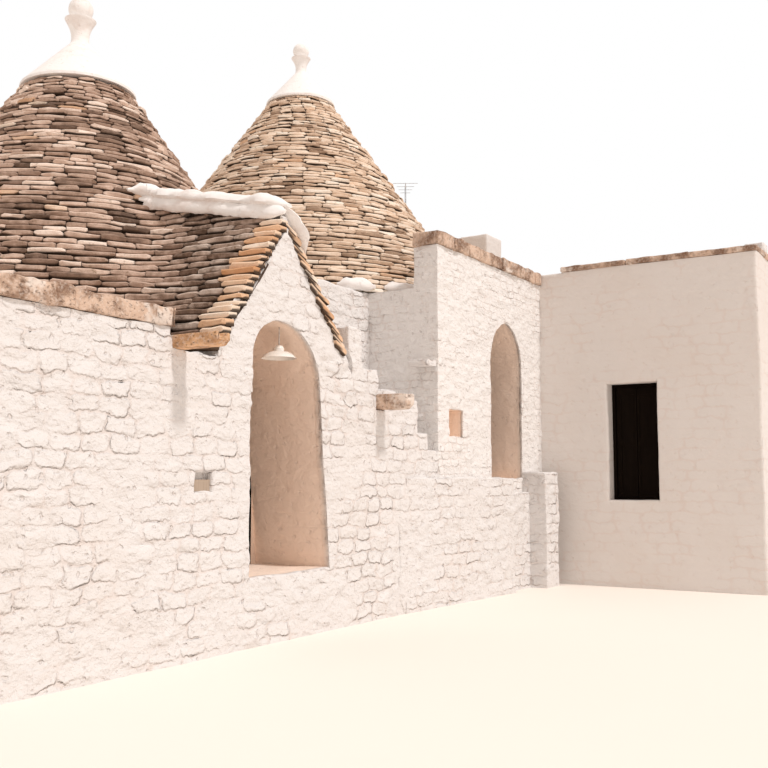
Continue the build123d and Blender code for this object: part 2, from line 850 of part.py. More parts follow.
def doors():
    """The niche's double door and the wing's double door."""
    arch_plane = Plane(origin=(along((door_a_left + door_a_right) / 2), behind(niche_depth), floor_a),
                       x_dir=(1, 0, 0), z_dir=(0, -1, 0))
    arch_width = door_a_left - door_a_right
    arch_height = door_a_head - floor_a
    door_frame("arch_door_frame", arch_plane, arch_width, arch_height)
    door_leaf("arch_door_leaf_left", arch_plane, arch_width, arch_height, -1)
    door_leaf("arch_door_leaf_right", arch_plane, arch_width, arch_height, 1)
    wing_plane = Plane(origin=(along(-(wing_wall - frame_depth) / 2), behind(-(wing_door_near + wing_door_far) / 2),
                               wing_floor), x_dir=(0, -1, 0), z_dir=(-1, 0, 0))
    wing_door_width = wing_door_near - wing_door_far
    wing_door_height = wing_door_head - wing_floor
    door_frame("wing_door_frame", wing_plane, wing_door_width, wing_door_height)
    door_leaf("wing_door_leaf_far", wing_plane, wing_door_width, wing_door_height, -1)
    door_leaf("wing_door_leaf_near", wing_plane, wing_door_width, wing_door_height, 1)


# Lamp and aerial

def lamp():
    """Enamel pendant lamp under the vault: rod, shade and bulb."""
    place = (along(lamp_left), behind(lamp_back))
    side = (arch_centre - lamp_left) / (arch_centre - niche_right)
    vault = arch_spring_right + (arch_crown - arch_spring_right) * (1 - side ** 2) ** 0.5
    shade_top = lamp_rim + shade_height + lamp_cap_height
    bend = shade_radius * shade_bend_radius
    bend_level = shade_height * shade_bend_level
    with BuildPart() as rod:
        with Locations((*place, shade_top)):
            Cylinder(rod_radius, vault - shade_top + 2 * rod_radius,
                     align=(Align.CENTER, Align.CENTER, Align.MIN))
        add(niche_space, mode=Mode.INTERSECT)
    save(rod.part, "lamp_rod")
    with BuildPart() as shade:
        with BuildSketch(Plane.XZ.offset(-place[1])):
            with BuildLine():
                bell = Spline((place[0] + lamp_cap_radius, lamp_rim + shade_height),
                              (place[0] + bend, lamp_rim + bend_level),
                              (place[0] + shade_radius, lamp_rim))
                inner = Spline((place[0] + lamp_cap_radius - shade_thick, lamp_rim + shade_height - shade_thick),
                               (place[0] + bend - shade_thick, lamp_rim + bend_level - shade_thick),
                               (place[0] + shade_radius - shade_thick, lamp_rim))
                Line(bell @ 1, inner @ 1)
                shoulder = shade_top - lamp_cap_height / 2
                crown = lamp_cap_radius * lamp_crown
                Polyline(inner @ 0, (place[0] + lamp_cap_radius - shade_thick, shoulder),
                         (place[0] + crown - shade_thick, shade_top - shade_thick),
                         (place[0], shade_top - shade_thick), (place[0], shade_top),
                         (place[0] + crown, shade_top), (place[0] + lamp_cap_radius, shoulder), bell @ 0)
            make_face()
        revolve(axis=Axis((*place, 0), (0, 0, 1)))
    save(shade.part, "lamp_shade")
    with BuildPart() as bulb:
        holder = shade_top - shade_thick
        with Locations((*place, holder)):
            Cylinder(holder_radius, lamp_cap_height, align=(Align.CENTER, Align.CENTER, Align.MAX))
        with Locations((*place, holder - lamp_cap_height - bulb_radius * bulb_drop)):
            Sphere(bulb_radius)
    save(bulb.part, "lamp_bulb")


def aerial():
    """Mast with a boom and cross elements, standing on the right wall."""
    place = (along(cone_b_left - cone_b_radius - mast_gap - mast_radius), behind(mast_back))
    boom_level = mast_top - boom_drop * boom_radius
    turn = radians(aerial_turn)
    pitch = boom_length / (len(element_lengths) - 1)
    with BuildPart() as mast:
        with Locations((*place, wall_b_top)):
            Cylinder(mast_radius, mast_top - wall_b_top, align=(Align.CENTER, Align.CENTER, Align.MIN))
        boom_plane = Plane(origin=(*place, boom_level), x_dir=(cos(turn), sin(turn), 0))
        with Locations(boom_plane):
            with Locations(Location((0, 0, 0), (0, 90, 0))):
                Cylinder(boom_radius, boom_length + 2 * boom_radius)
            for index, length in enumerate(element_lengths):
                with Locations(Location((index * pitch - boom_length / 2, 0, 0), (90, 0, 0))):
                    Cylinder(element_radius, length)
    save(mast.part, "aerial")


left_end_wall()
back_wall_left()
front_wall_left()
pocket_plug()
arch_jambs()
gable_wall()
niche_floor()
stepped_wall()
inner_front_wall()
party_wall()
cornice()
floor_left()
shoulder_wall()
tall_front()
tall_coping()
pointed_door()
knob()
right_block_walls()
doorstep()
cones()
gable_roof()
spout("spout_left", channel_left - spout_width / 2, channel_floor, spout_height, spout_reach)
spout("spout_right", spout_right_at, spout_right_level, spout_right_height, spout_right_reach)
wing_walls()
wing_roof()
chimney()
doors()
lamp()
aerial()
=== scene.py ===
"""Dresses the trullo house: limewashed rubble, dry-stone roofs, plaster caps, doors, lamp and aerial."""

import json
import logging
import math
import random
from bisect import bisect_right
from collections.abc import Iterable, Sequence
from dataclasses import dataclass, field
from enum import Enum

import bmesh
import bpy
from mathutils import Matrix, Vector, noise
from mathutils.bvhtree import BVHTree

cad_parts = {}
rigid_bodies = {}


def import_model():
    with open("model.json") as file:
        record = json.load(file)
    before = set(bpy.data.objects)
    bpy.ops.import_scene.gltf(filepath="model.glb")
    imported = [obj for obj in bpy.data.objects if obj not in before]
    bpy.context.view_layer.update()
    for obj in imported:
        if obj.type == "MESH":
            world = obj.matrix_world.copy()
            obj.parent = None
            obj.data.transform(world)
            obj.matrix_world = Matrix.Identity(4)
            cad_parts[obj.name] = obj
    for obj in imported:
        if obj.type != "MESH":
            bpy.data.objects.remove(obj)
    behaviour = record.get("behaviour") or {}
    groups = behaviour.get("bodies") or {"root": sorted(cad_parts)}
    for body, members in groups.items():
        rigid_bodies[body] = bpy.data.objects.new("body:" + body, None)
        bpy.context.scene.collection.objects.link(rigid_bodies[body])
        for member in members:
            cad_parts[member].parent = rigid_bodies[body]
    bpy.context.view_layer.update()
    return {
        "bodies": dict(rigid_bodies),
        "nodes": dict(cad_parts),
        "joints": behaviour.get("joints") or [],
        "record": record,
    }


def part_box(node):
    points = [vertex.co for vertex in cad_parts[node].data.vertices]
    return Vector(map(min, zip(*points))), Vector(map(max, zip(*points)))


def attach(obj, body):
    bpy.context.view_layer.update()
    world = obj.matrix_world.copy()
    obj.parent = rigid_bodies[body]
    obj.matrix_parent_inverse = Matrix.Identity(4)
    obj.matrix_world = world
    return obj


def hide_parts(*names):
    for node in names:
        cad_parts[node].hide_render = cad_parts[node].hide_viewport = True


log = logging.getLogger("trullo")

Colour = tuple[float, float, float]

CORNER_X = 3.3
FACADE_Y = -2.065
HOUSE = "house"


def along(distance: float) -> float:
    """X of a point this far left of the inner corner, in metres."""
    return CORNER_X - distance


def behind(distance: float) -> float:
    """Y of a point this far behind the facade, in metres."""
    return FACADE_Y + distance


# Material building


class Value:
    """One number in a material, on which ordinary arithmetic adds Math nodes."""

    def __init__(self, graph: "Graph", socket: bpy.types.NodeSocket) -> None:
        """Wrap an output socket of the graph."""
        self.graph = graph
        self.socket = socket

    def _math(self, operation: str, *operands: "Value | float") -> "Value":
        """Add one Math node.

        Args:
            operation: The Math node's operation.
            operands: What goes into its sockets, in order.

        Returns:
            The node's result.
        """
        node = self.graph.node("ShaderNodeMath", {"operation": operation}, dict(enumerate(operands)))
        return Value(self.graph, node.outputs[0])

    def __add__(self, other: "Value | float") -> "Value":
        """This number plus another."""
        return self._math("ADD", self, other)

    def __radd__(self, other: float) -> "Value":
        """A plain number plus this one."""
        return self._math("ADD", other, self)

    def __sub__(self, other: "Value | float") -> "Value":
        """This number less another."""
        return self._math("SUBTRACT", self, other)

    def __rsub__(self, other: float) -> "Value":
        """A plain number less this one."""
        return self._math("SUBTRACT", other, self)

    def __mul__(self, other: "Value | float") -> "Value":
        """This number times another."""
        return self._math("MULTIPLY", self, other)

    def __rmul__(self, other: float) -> "Value":
        """A plain number times this one."""
        return self._math("MULTIPLY", other, self)

    def floor(self) -> "Value":
        """Cut off what stands behind the point."""
        return self._math("FLOOR", self)

    def __pow__(self, other: "Value | float") -> "Value":
        """This number raised to a power."""
        return self._math("POWER", self, other)


class Graph:
    """The node tree of one material."""

    def __init__(self, name: str) -> None:
        """Start an empty tree.

        Args:
            name: Name of the new material.
        """
        self.material = bpy.data.materials.new(name)
        self.material.use_nodes = True
        self.tree = self.material.node_tree
        self.tree.nodes.clear()

    def node(self, kind: str, settings: dict | None = None, sockets: dict | None = None) -> bpy.types.Node:
        """Add any node.

        Args:
            kind: Blender's name of the node type.
            settings: The node's own settings; "stops" gives a ramp's positions and colours.
            sockets: Values or links by input name or number.

        Returns:
            The new node.
        """
        node = self.tree.nodes.new(kind)
        for key, value in (settings or {}).items():
            if key == "stops":
                self._set_stops(node, value)
            else:
                setattr(node, key, value)
        for key, value in (sockets or {}).items():
            if isinstance(value, Value):
                self.tree.links.new(value.socket, node.inputs[key])
            elif isinstance(value, bpy.types.NodeSocket):
                self.tree.links.new(value, node.inputs[key])
            else:
                node.inputs[key].default_value = value
        return node

    @staticmethod
    def _set_stops(node: bpy.types.Node, stops: Sequence[tuple[float, Colour]]) -> None:
        """Give a ramp its stops.

        Args:
            node: The ramp node.
            stops: Position and colour of each stop, in order.
        """
        elements = node.color_ramp.elements
        while len(elements) < len(stops):
            elements.new(0.5)
        for element, (position, colour) in zip(elements, stops):
            element.position = position
            element.color = (*colour, 1)

    def place(self, scale: Sequence[float] = (1, 1, 1), shift: Sequence[float] = (0, 0, 0)) -> bpy.types.NodeSocket:
        """Object coordinates, stretched and moved.

        Args:
            scale: How many pattern units lie in a metre, per axis.
            shift: Where the pattern starts.

        Returns:
            The coordinate socket.
        """
        source = self.node("ShaderNodeTexCoord").outputs["Object"]
        mapping = self.node("ShaderNodeMapping", {}, {"Vector": source, "Scale": scale, "Location": shift})
        return mapping.outputs[0]

    def warp(self, vector: bpy.types.NodeSocket, amount: float, scale: float) -> bpy.types.NodeSocket:
        """Bend coordinates with a soft noise so that a pattern's lines wander.

        Args:
            vector: The coordinates to bend.
            amount: How far they move.
            scale: How fine the bends are.

        Returns:
            The bent coordinates.
        """
        wave = self.node("ShaderNodeTexNoise", {}, {"Vector": vector, "Scale": scale, "Detail": 2.0})
        push = self.node("ShaderNodeVectorMath", {"operation": "MULTIPLY_ADD"},
                         {0: wave.outputs["Color"], 1: (amount, amount, amount), 2: vector})
        return push.outputs[0]

    def noise(self, vector: bpy.types.NodeSocket, scale: float, detail: float = 3.0, rough: float = 0.55) -> Value:
        """Soft noise between 0 and 1.

        Args:
            vector: Coordinates.
            scale: Pattern units per coordinate unit.
            detail: Number of finer layers.
            rough: Weight of the finer layers.

        Returns:
            The noise.
        """
        node = self.node("ShaderNodeTexNoise", {},
                         {"Vector": vector, "Scale": scale, "Detail": detail, "Roughness": rough})
        return Value(self, node.outputs[0])

    def cells(self, vector: bpy.types.NodeSocket, scale: float, feature: str) -> bpy.types.Node:
        """Stone-like cells.

        Args:
            vector: Coordinates.
            scale: Cells per coordinate unit.
            feature: The Voronoi feature to read.

        Returns:
            The Voronoi node.
        """
        return self.node("ShaderNodeTexVoronoi", {"feature": feature}, {"Vector": vector, "Scale": scale})

    def parts(self, vector: bpy.types.NodeSocket) -> list[Value]:
        """Split a vector into its three numbers."""
        return [Value(self, socket) for socket in self.node("ShaderNodeSeparateXYZ", sockets={0: vector}).outputs]

    def chance(self, *seeds: Value | float) -> Value:
        """Draw a number from 0 to 1 that depends on up to three others."""
        spot = self.node("ShaderNodeCombineXYZ", sockets=dict(enumerate(seeds))).outputs[0]
        return Value(self, self.node("ShaderNodeTexWhiteNoise", sockets={"Vector": spot}).outputs["Value"])

    def attribute(self, name: str) -> Value:
        """Read a number that the mesh carries on its faces."""
        return Value(self, self.node("ShaderNodeAttribute", {"attribute_name": name}).outputs["Fac"])

    def step(self, value: Value, low: float, high: float, to_low: float = 0.0, to_high: float = 1.0) -> Value:
        """Ease a number from one level to another between two limits.

        Args:
            value: What is eased.
            low: Where it starts.
            high: Where it ends.
            to_low: Result at and before the start.
            to_high: Result at and beyond the end.

        Returns:
            The eased number.
        """
        node = self.node("ShaderNodeMapRange", {"interpolation_type": "SMOOTHSTEP"},
                         {0: value, 1: low, 2: high, 3: to_low, 4: to_high})
        return Value(self, node.outputs[0])

    def mix(self, factor: Value | float, low: object, high: object) -> bpy.types.NodeSocket:
        """Mix two colours.

        Args:
            factor: 0 gives the first, 1 the second.
            low: First colour, a socket or three numbers.
            high: Second colour, a socket or three numbers.

        Returns:
            The colour socket.
        """
        pair = [colour if isinstance(colour, bpy.types.NodeSocket) else (*colour, 1) for colour in (low, high)]
        node = self.node("ShaderNodeMix", {"data_type": "RGBA"}, {0: factor, 6: pair[0], 7: pair[1]})
        return node.outputs[2]

    def ramp(self, value: Value, stops: Sequence[tuple[float, Colour]]) -> bpy.types.NodeSocket:
        """Turn a number into a colour along a row of stops."""
        return self.node("ShaderNodeValToRGB", {"stops": stops}, {0: value}).outputs[0]

    def bump(self, height: Value, distance: float, strength: float = 1.0,
             under: bpy.types.NodeSocket | None = None) -> bpy.types.NodeSocket:
        """Small relief that only bends the light.

        Args:
            height: Height between 0 and 1.
            distance: Depth in metres of the whole range.
            strength: How strongly it shows.
            under: Normal of a coarser relief beneath.

        Returns:
            The normal socket.
        """
        sockets = {"Height": height, "Distance": distance, "Strength": strength}
        if under is not None:
            sockets["Normal"] = under
        return self.node("ShaderNodeBump", {}, sockets).outputs[0]

    def surface(self, **sockets: object) -> bpy.types.Material:
        """Close the tree with a Principled shader.

        Args:
            sockets: Its inputs, with underscores for spaces.

        Returns:
            The finished material.
        """
        named = {}
        for key, value in sockets.items():
            named[key.replace("_", " ")] = (*value, 1) if isinstance(value, tuple) and len(value) == 3 else value
        shader = self.node("ShaderNodeBsdfPrincipled", {}, named)
        self.node("ShaderNodeOutputMaterial", {}, {"Surface": shader.outputs[0]})
        return self.material


# Finishes


@dataclass(frozen=True)
class Limewash:
    """Many coats of limewash over laid stones; joints and pits carry painted rosy shade, and sheltered places painted
    warm bounce light.
    """

    name: str
    coat: Colour = (0.79, 0.77, 0.76)
    painted_joint_shade: Colour = (0.70, 0.58, 0.52)
    painted_bounce_light: Colour = (0.985, 0.805, 0.675)
    stones: tuple[float, float] = (0.31, 0.145)
    proud: float = 0.030
    rough: float = 0.034
    stain: float = 0.25

    def _courses(self, graph: Graph, crooked: float) -> tuple[Value, Value]:
        """Lay rough stones in courses, each fuller at its underside.

        Args:
            graph: The material's graph.
            crooked: How far the joints wander, in stone heights.

        Returns:
            The stones' height, and the joints, both from 0 to 1.
        """
        long, tall = self.stones
        place = graph.warp(graph.place(), crooked * tall, 0.42 / tall)
        x, y, z = graph.parts(graph.warp(place, crooked * tall * 0.35, 2.2 / tall))
        course = (z * (1 / tall)).floor()
        up = z * (1 / tall) - course
        run = (x + y) * (1 / long) + graph.chance(course, 3.0) * 5.0
        stone = run.floor()
        across = run - stone
        high, wide = (up * 2 - 1) ** 4, (across * 2 - 1) ** 6
        body = graph.step(high + wide, 1.0, 0.22)
        own = graph.chance(course, stone, 7.0)
        return body * (own * 0.85 + 0.15) * (1.0 - up * 0.55), 1 - body

    def material(self) -> bpy.types.Material:
        """Build the limewash material."""
        graph = Graph(self.name)
        warm = graph.attribute("warm")
        plain = graph.place()
        stones, joints = self._courses(graph, 1.0)
        bare = graph.step(graph.noise(plain, 1.6, 3.0), 0.42, 0.60, 0.12, 1.0) * (1 - warm * 0.8)
        bare = bare * graph.step(graph.attribute("level"), 0.85, 0.45)
        cloud = graph.noise(graph.place((5.5, 5.5, 8.5)), 1.0, 3.0, 0.55)
        small = graph.noise(plain, 24.0, 3.0, 0.6)
        grain = graph.noise(plain, 80.0, 2.0, 0.6)
        pits = graph.step(graph.noise(plain, 15.0, 2.0, 0.5), 0.60, 0.76)
        wide = graph.step(graph.noise(plain, 0.7, 3.0, 0.6), 0.42, 0.75)
        coat = graph.mix(wide * self.stain, self.coat, tuple(c * k for c, k in zip(self.coat, (0.96, 0.90, 0.85))))
        # Painted warm bounce light: the warm mark of sheltered places eases the coat towards this warm colour.
        coat = graph.mix(warm * 0.95, coat, self.painted_bounce_light)
        # Painted shade: joints between the stones and small pits are tinted towards the rosy shade colour.
        colour = graph.mix(joints * bare * 0.35 + pits * 0.25, coat, self.painted_joint_shade)
        rough = (cloud * 1.5 + small * 0.42 + grain * 0.06 - pits * 0.35) * (1 - warm * 0.6)
        normal = graph.bump(stones * bare, self.proud, under=graph.bump(rough, self.rough))
        return graph.surface(Base_Color=colour, Roughness=0.93, Normal=normal, Specular_IOR_Level=0.2)


@dataclass(frozen=True)
class RoofStone:
    """Weathered limestone slabs, each with a tone of its own, warmer at the verges; painted shadow darkens each
    slab's underside and ends, and mossy growth with painted shade darkens the left gable slope.
    """

    name: str = "roof_stone"
    tones: tuple[Colour, Colour, Colour, Colour] = (
        (0.14, 0.092, 0.068), (0.38, 0.262, 0.20), (0.68, 0.515, 0.42), (0.93, 0.79, 0.69))
    moss_and_painted_shade: Colour = (0.085, 0.052, 0.034)

    def material(self) -> bpy.types.Material:
        """Build the slab material."""
        graph = Graph(self.name)
        tone = graph.attribute("tone")
        verge = graph.attribute("verge")
        shade = graph.attribute("shade")
        under = graph.attribute("under")
        plain = graph.place()
        blotch = graph.noise(plain, 9.0, 5.0, 0.65)
        fine = graph.noise(plain, 50.0, 4.0, 0.7)
        grey = graph.ramp(tone + blotch * 0.8 - 0.40, tuple(zip((0.0, 0.33, 0.62, 0.95), self.tones)))
        # Mossy growth and painted shade darken the slabs that carry the shade mark, on the left gable slope.
        dull = graph.mix(shade * graph.step(blotch, 0.30, 0.62, 0.9, 0.45), grey, self.moss_and_painted_shade)
        warm = graph.ramp(tone + blotch * 0.5 - 0.25,
                          ((0.0, (0.62, 0.33, 0.17)), (0.45, (0.83, 0.56, 0.37)), (0.9, (0.93, 0.80, 0.67))))
        colour = graph.mix(verge, dull, warm)
        lichen = graph.step(graph.noise(plain, 13.0, 4.0, 0.7), 0.60, 0.70) * 0.55
        colour = graph.mix(lichen * (1 - verge * 0.7), colour, (0.21, 0.135, 0.065))
        colour = graph.mix(graph.step(fine, 0.56, 0.76) * 0.35, colour, (0.12, 0.08, 0.055))
        # Painted shadow: the under mark darkens each slab's underside and ends, where the slab above and its
        # neighbours shade it.
        colour = graph.mix(graph.step(under + blotch * 0.3, 0.32, 0.88) * 0.94, colour, (0.040, 0.026, 0.018))
        height = blotch * 0.55 + fine * 0.45
        return graph.surface(Base_Color=colour, Roughness=0.95, Normal=graph.bump(height, 0.020),
                             Specular_IOR_Level=0.15)


@dataclass(frozen=True)
class Limestone:
    """Rough bare limestone, pitted and warm."""

    name: str = "limestone"
    pale: Colour = (0.68, 0.50, 0.385)
    dark: Colour = (0.25, 0.15, 0.10)
    splash: Colour = (0.84, 0.76, 0.69)
    relief: float = 0.024

    def material(self) -> bpy.types.Material:
        """Build the bare stone material."""
        graph = Graph(self.name)
        plain = graph.place()
        blotch = graph.noise(plain, 4.5, 5.0, 0.65)
        fine = graph.noise(plain, 32.0, 4.0, 0.7)
        pits = graph.step(graph.noise(graph.place((1.0, 1.0, 1.6)), 26.0, 4.0, 0.65), 0.56, 0.72)
        colour = graph.mix(graph.step(blotch, 0.38, 0.62), self.pale, self.dark)
        colour = graph.mix(graph.step(fine, 0.45, 0.7) * 0.4, colour, self.splash)
        limed = graph.step(graph.noise(plain, 2.2, 4.0, 0.7), 0.52, 0.62)
        colour = graph.mix(limed * 0.75, colour, self.splash)
        colour = graph.mix(pits * 0.6, colour, (0.18, 0.11, 0.07))
        height = blotch * 0.7 + fine * 0.25 - pits * 0.3
        return graph.surface(Base_Color=colour, Roughness=0.94, Normal=graph.bump(height, self.relief),
                             Specular_IOR_Level=0.15)


@dataclass(frozen=True)
class EarthAndShadeCore:
    """Dark earth and small stone behind the roof slabs, made darker as painted shade in the gaps between slabs."""

    name: str = "core_rubble"

    def material(self) -> bpy.types.Material:
        """Build the dark core material."""
        graph = Graph(self.name)
        plain = graph.place()
        speck = graph.noise(plain, 20.0, 4.0, 0.7)
        colour = graph.mix(speck, (0.05, 0.03, 0.022), (0.17, 0.11, 0.075))
        return graph.surface(Base_Color=colour, Roughness=1.0, Normal=graph.bump(speck, 0.02))


@dataclass(frozen=True)
class Timber:
    """Old dark boards with grain along their height; the default near-black colours are partly painted shade."""

    name: str = "dark_wood"
    # Near-black boards: partly the wood's own dark colour, partly painted shade.
    light: Colour = (0.010, 0.0065, 0.0045)
    deep: Colour = (0.004, 0.0025, 0.002)

    def material(self) -> bpy.types.Material:
        """Build the wood material."""
        graph = Graph(self.name)
        fibre = graph.place((38.0, 38.0, 1.6))
        grain = graph.noise(fibre, 1.0, 5.0, 0.6)
        wear = graph.noise(graph.place(), 6.0, 3.0)
        colour = graph.mix(grain, self.deep, self.light)
        colour = graph.mix(graph.step(wear, 0.55, 0.8) * 0.2, colour, tuple(c * 2.2 for c in self.light))
        return graph.surface(Base_Color=colour, Roughness=graph.step(wear, 0.3, 0.7, 0.85, 0.95),
                             Normal=graph.bump(grain, 0.003), Specular_IOR_Level=0.04)


@dataclass(frozen=True)
class Enamel:
    """White stove enamel with a faint tint."""

    name: str = "enamel"

    def material(self) -> bpy.types.Material:
        """Build the enamel material."""
        graph = Graph(self.name)
        cloud = graph.noise(graph.place(), 14.0, 3.0)
        colour = graph.mix(cloud, (0.90, 0.88, 0.84), (0.80, 0.76, 0.70))
        return graph.surface(Base_Color=colour, Roughness=graph.step(cloud, 0.3, 0.7, 0.18, 0.32),
                             Coat_Weight=0.4)


@dataclass(frozen=True)
class DullMetal:
    """Weathered metal."""

    name: str
    clean: Colour = (0.62, 0.63, 0.65)
    worn: Colour = (0.36, 0.35, 0.34)

    def material(self) -> bpy.types.Material:
        """Build the metal material."""
        graph = Graph(self.name)
        spots = graph.noise(graph.place(), 40.0, 4.0, 0.7)
        colour = graph.mix(graph.step(spots, 0.4, 0.7), self.clean, self.worn)
        return graph.surface(Base_Color=colour, Metallic=0.9, Roughness=graph.step(spots, 0.3, 0.7, 0.35, 0.65),
                             Normal=graph.bump(spots, 0.001))


@dataclass(frozen=True)
class FrostedBulb:
    """Unlit opal lamp bulb."""

    name: str = "bulb_glass"

    def material(self) -> bpy.types.Material:
        """Build the bulb material."""
        graph = Graph(self.name)
        haze = graph.noise(graph.place(), 60.0, 2.0)
        colour = graph.mix(haze, (0.92, 0.90, 0.84), (0.84, 0.81, 0.74))
        return graph.surface(Base_Color=colour, Roughness=graph.step(haze, 0.3, 0.7, 0.12, 0.2), IOR=1.5)


@dataclass(frozen=True)
class PavingStone:
    """Worn stone flags."""

    name: str = "paving"

    def material(self) -> bpy.types.Material:
        """Build the flagstone material."""
        graph = Graph(self.name)
        spot = graph.warp(graph.place((2.2, 1.5, 1.0)), 0.08, 2.0)
        flags = graph.cells(spot, 1.0, "DISTANCE_TO_EDGE")
        body = graph.step(Value(graph, flags.outputs["Distance"]), 0.0, 0.035)
        blotch = graph.noise(graph.place(), 5.0, 5.0, 0.65)
        stone = graph.mix(blotch, (0.74, 0.62, 0.49), (0.52, 0.38, 0.27))
        colour = graph.mix(body, (0.26, 0.19, 0.14), stone)
        normal = graph.bump(body * 0.7 + blotch * 0.3, 0.012)
        return graph.surface(Base_Color=colour, Roughness=0.85, Normal=normal, Specular_IOR_Level=0.25)


class Palette:
    """Every finish of the house, built once."""

    def __init__(self) -> None:
        """Build the materials."""
        self.rubble = Limewash("limewashed_rubble").material()
        self.pitted = Limewash("limewashed_pitted", stones=(0.22, 0.10), coat=(0.85, 0.83, 0.815), proud=0.013, rough=0.036,
                               stain=0.12).material()
        self.render_coat = Limewash("limewashed_render", coat=(0.765, 0.725, 0.695), stones=(0.42, 0.15),
                                    proud=0.0035, rough=0.012, stain=0.3).material()
        self.plaster = Limewash("cap_plaster", coat=(0.91, 0.89, 0.875), stones=(0.5, 0.4), proud=0.002,
                                rough=0.012, stain=0.12).material()
        self.roof = RoofStone().material()
        # The right cone's slabs are paler: partly their own colour, partly painted sunlight.
        self.pale_and_sunlit_roof = RoofStone("roof_stone_pale_and_sunlit", (
            (0.38, 0.265, 0.19), (0.70, 0.53, 0.40), (0.90, 0.74, 0.60), (0.96, 0.87, 0.76))).material()
        self.stone = Limestone().material()
        # Warmer, darker stone for the left spout: partly its own colour, partly painted shade with warm bounce light.
        self.ochre_and_shaded_stone = Limestone("limestone_ochre_and_shaded", pale=(0.80, 0.50, 0.29), dark=(0.46, 0.26, 0.14)).material()
        self.earth_and_shade_core = EarthAndShadeCore().material()
        self.dark_and_shaded_timber = Timber().material()
        self.bleached_timber = Timber("bleached_wood", light=(0.56, 0.46, 0.37), deep=(0.34, 0.26, 0.20)).material()
        self.enamel = Enamel().material()
        self.iron = DullMetal("iron", clean=(0.62, 0.59, 0.56), worn=(0.42, 0.36, 0.32)).material()
        self.aluminium = DullMetal("aerial_metal").material()
        self.bulb = FrostedBulb().material()
        self.paving = PavingStone().material()


# Mesh helpers


def merged_copy(node: bpy.types.Object) -> bmesh.types.BMesh:
    """Copy a frame node into a bmesh with its triangles joined up.

    Args:
        node: The frame's object.

    Returns:
        A clean bmesh of the same solid.
    """
    mesh = bmesh.new()
    mesh.from_mesh(node.data)
    bmesh.ops.remove_doubles(mesh, verts=mesh.verts[:], dist=1e-5)
    bmesh.ops.dissolve_limit(mesh, angle_limit=math.radians(0.6), verts=mesh.verts[:], edges=mesh.edges[:])
    return mesh


def as_piece(mesh: bmesh.types.BMesh, name: str, materials: Iterable[bpy.types.Material],
             body: str = HOUSE, stands_for: Sequence[str] = (),
             sharp_above: float = 38.0) -> bpy.types.Object:
    """Turn a bmesh into a finished piece of the house.

    Args:
        mesh: The piece's geometry, freed here.
        name: Name of the piece.
        materials: Its materials in slot order.
        body: The body it rides on.
        stands_for: Frame nodes it replaces.
        sharp_above: Edges sharper than this many degrees stay crisp.

    Returns:
        The object.
    """
    data = bpy.data.meshes.new(name)
    mesh.to_mesh(data)
    mesh.free()
    stale = data.attributes.get("custom_normal")
    if stale:
        data.attributes.remove(stale)
    piece = bpy.data.objects.new(name, data)
    bpy.context.scene.collection.objects.link(piece)
    for material in materials:
        data.materials.append(material)
    data.shade_smooth()
    data.set_sharp_from_angle(angle=math.radians(sharp_above))
    if stands_for:
        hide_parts(*stands_for)
    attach(piece, body)
    log.info("piece %s: %d faces", name, len(data.polygons))
    return piece


def cut(mesh: bmesh.types.BMesh, axis: int, level: float,
        faces: Sequence[bmesh.types.BMFace] | None = None) -> list[bmesh.types.BMFace]:
    """Cut faces along one upright or level plane.

    Args:
        mesh: What is cut.
        axis: 0, 1 or 2 for a plane across X, Y or Z.
        level: Where the plane stands.
        faces: The faces that are cut; all of them if left out.

    Returns:
        The faces after the cut.
    """
    normal = Vector((0, 0, 0))
    normal[axis] = 1
    chosen = mesh.faces[:] if faces is None else faces
    edges = {edge for face in chosen for edge in face.edges}
    verts = {vert for face in chosen for vert in face.verts}
    result = bmesh.ops.bisect_plane(mesh, geom=[*verts, *edges, *chosen], dist=1e-4,
                                    plane_co=normal * level, plane_no=normal)
    return [item for item in result["geom"] if isinstance(item, bmesh.types.BMFace)]


def span(face: bmesh.types.BMFace, axis: int) -> tuple[float, float]:
    """Lowest and highest place of a face along one axis."""
    places = [vert.co[axis] for vert in face.verts]
    return min(places), max(places)


def slice_axis(mesh: bmesh.types.BMesh, axis: int, step: float,
               faces: Sequence[bmesh.types.BMFace]) -> list[bmesh.types.BMFace]:
    """Cut faces at every multiple of a step, each plane through the faces that cross it only.

    Args:
        mesh: What is cut.
        axis: 0, 1 or 2 for planes across X, Y or Z.
        step: Spacing of the planes.
        faces: The faces that are cut.

    Returns:
        The faces after the cuts.
    """
    waiting = sorted(((*span(face, axis), index, face) for index, face in enumerate(faces)), reverse=True)
    if not waiting:
        return []
    done: list[bmesh.types.BMFace] = []
    under_way: list[bmesh.types.BMFace] = []
    for index in range(math.ceil((waiting[-1][0] + 0.004) / step), math.floor(
            (max(item[1] for item in waiting) - 0.004) / step) + 1):
        level = index * step
        while waiting and waiting[-1][0] < level - 0.002:
            under_way.append(waiting.pop()[3])
        crossing = []
        for face in under_way:
            (crossing if span(face, axis)[1] > level + 0.002 else done).append(face)
        under_way = []
        if crossing:
            for face in cut(mesh, axis, level, crossing):
                (under_way if span(face, axis)[1] > level + 0.002 else done).append(face)
    return done + under_way + [item[3] for item in waiting]


def slice_up(mesh: bmesh.types.BMesh, step: float,
             faces: Sequence[bmesh.types.BMFace] | None = None) -> list[bmesh.types.BMFace]:
    """Cut faces along the planes of one lattice that all pieces share.

    Args:
        mesh: What is cut.
        step: Spacing of the lattice.
        faces: The faces that are cut; all of them if left out.

    Returns:
        The faces after the cuts.
    """
    chosen = mesh.faces[:] if faces is None else list(faces)
    for axis in range(3):
        chosen = slice_axis(mesh, axis, step, chosen)
    return chosen


def eased(value: float) -> float:
    """Ease a number from 0 to 1, held beyond both."""
    held = min(1.0, max(0.0, value))
    return held * held * (3 - 2 * held)


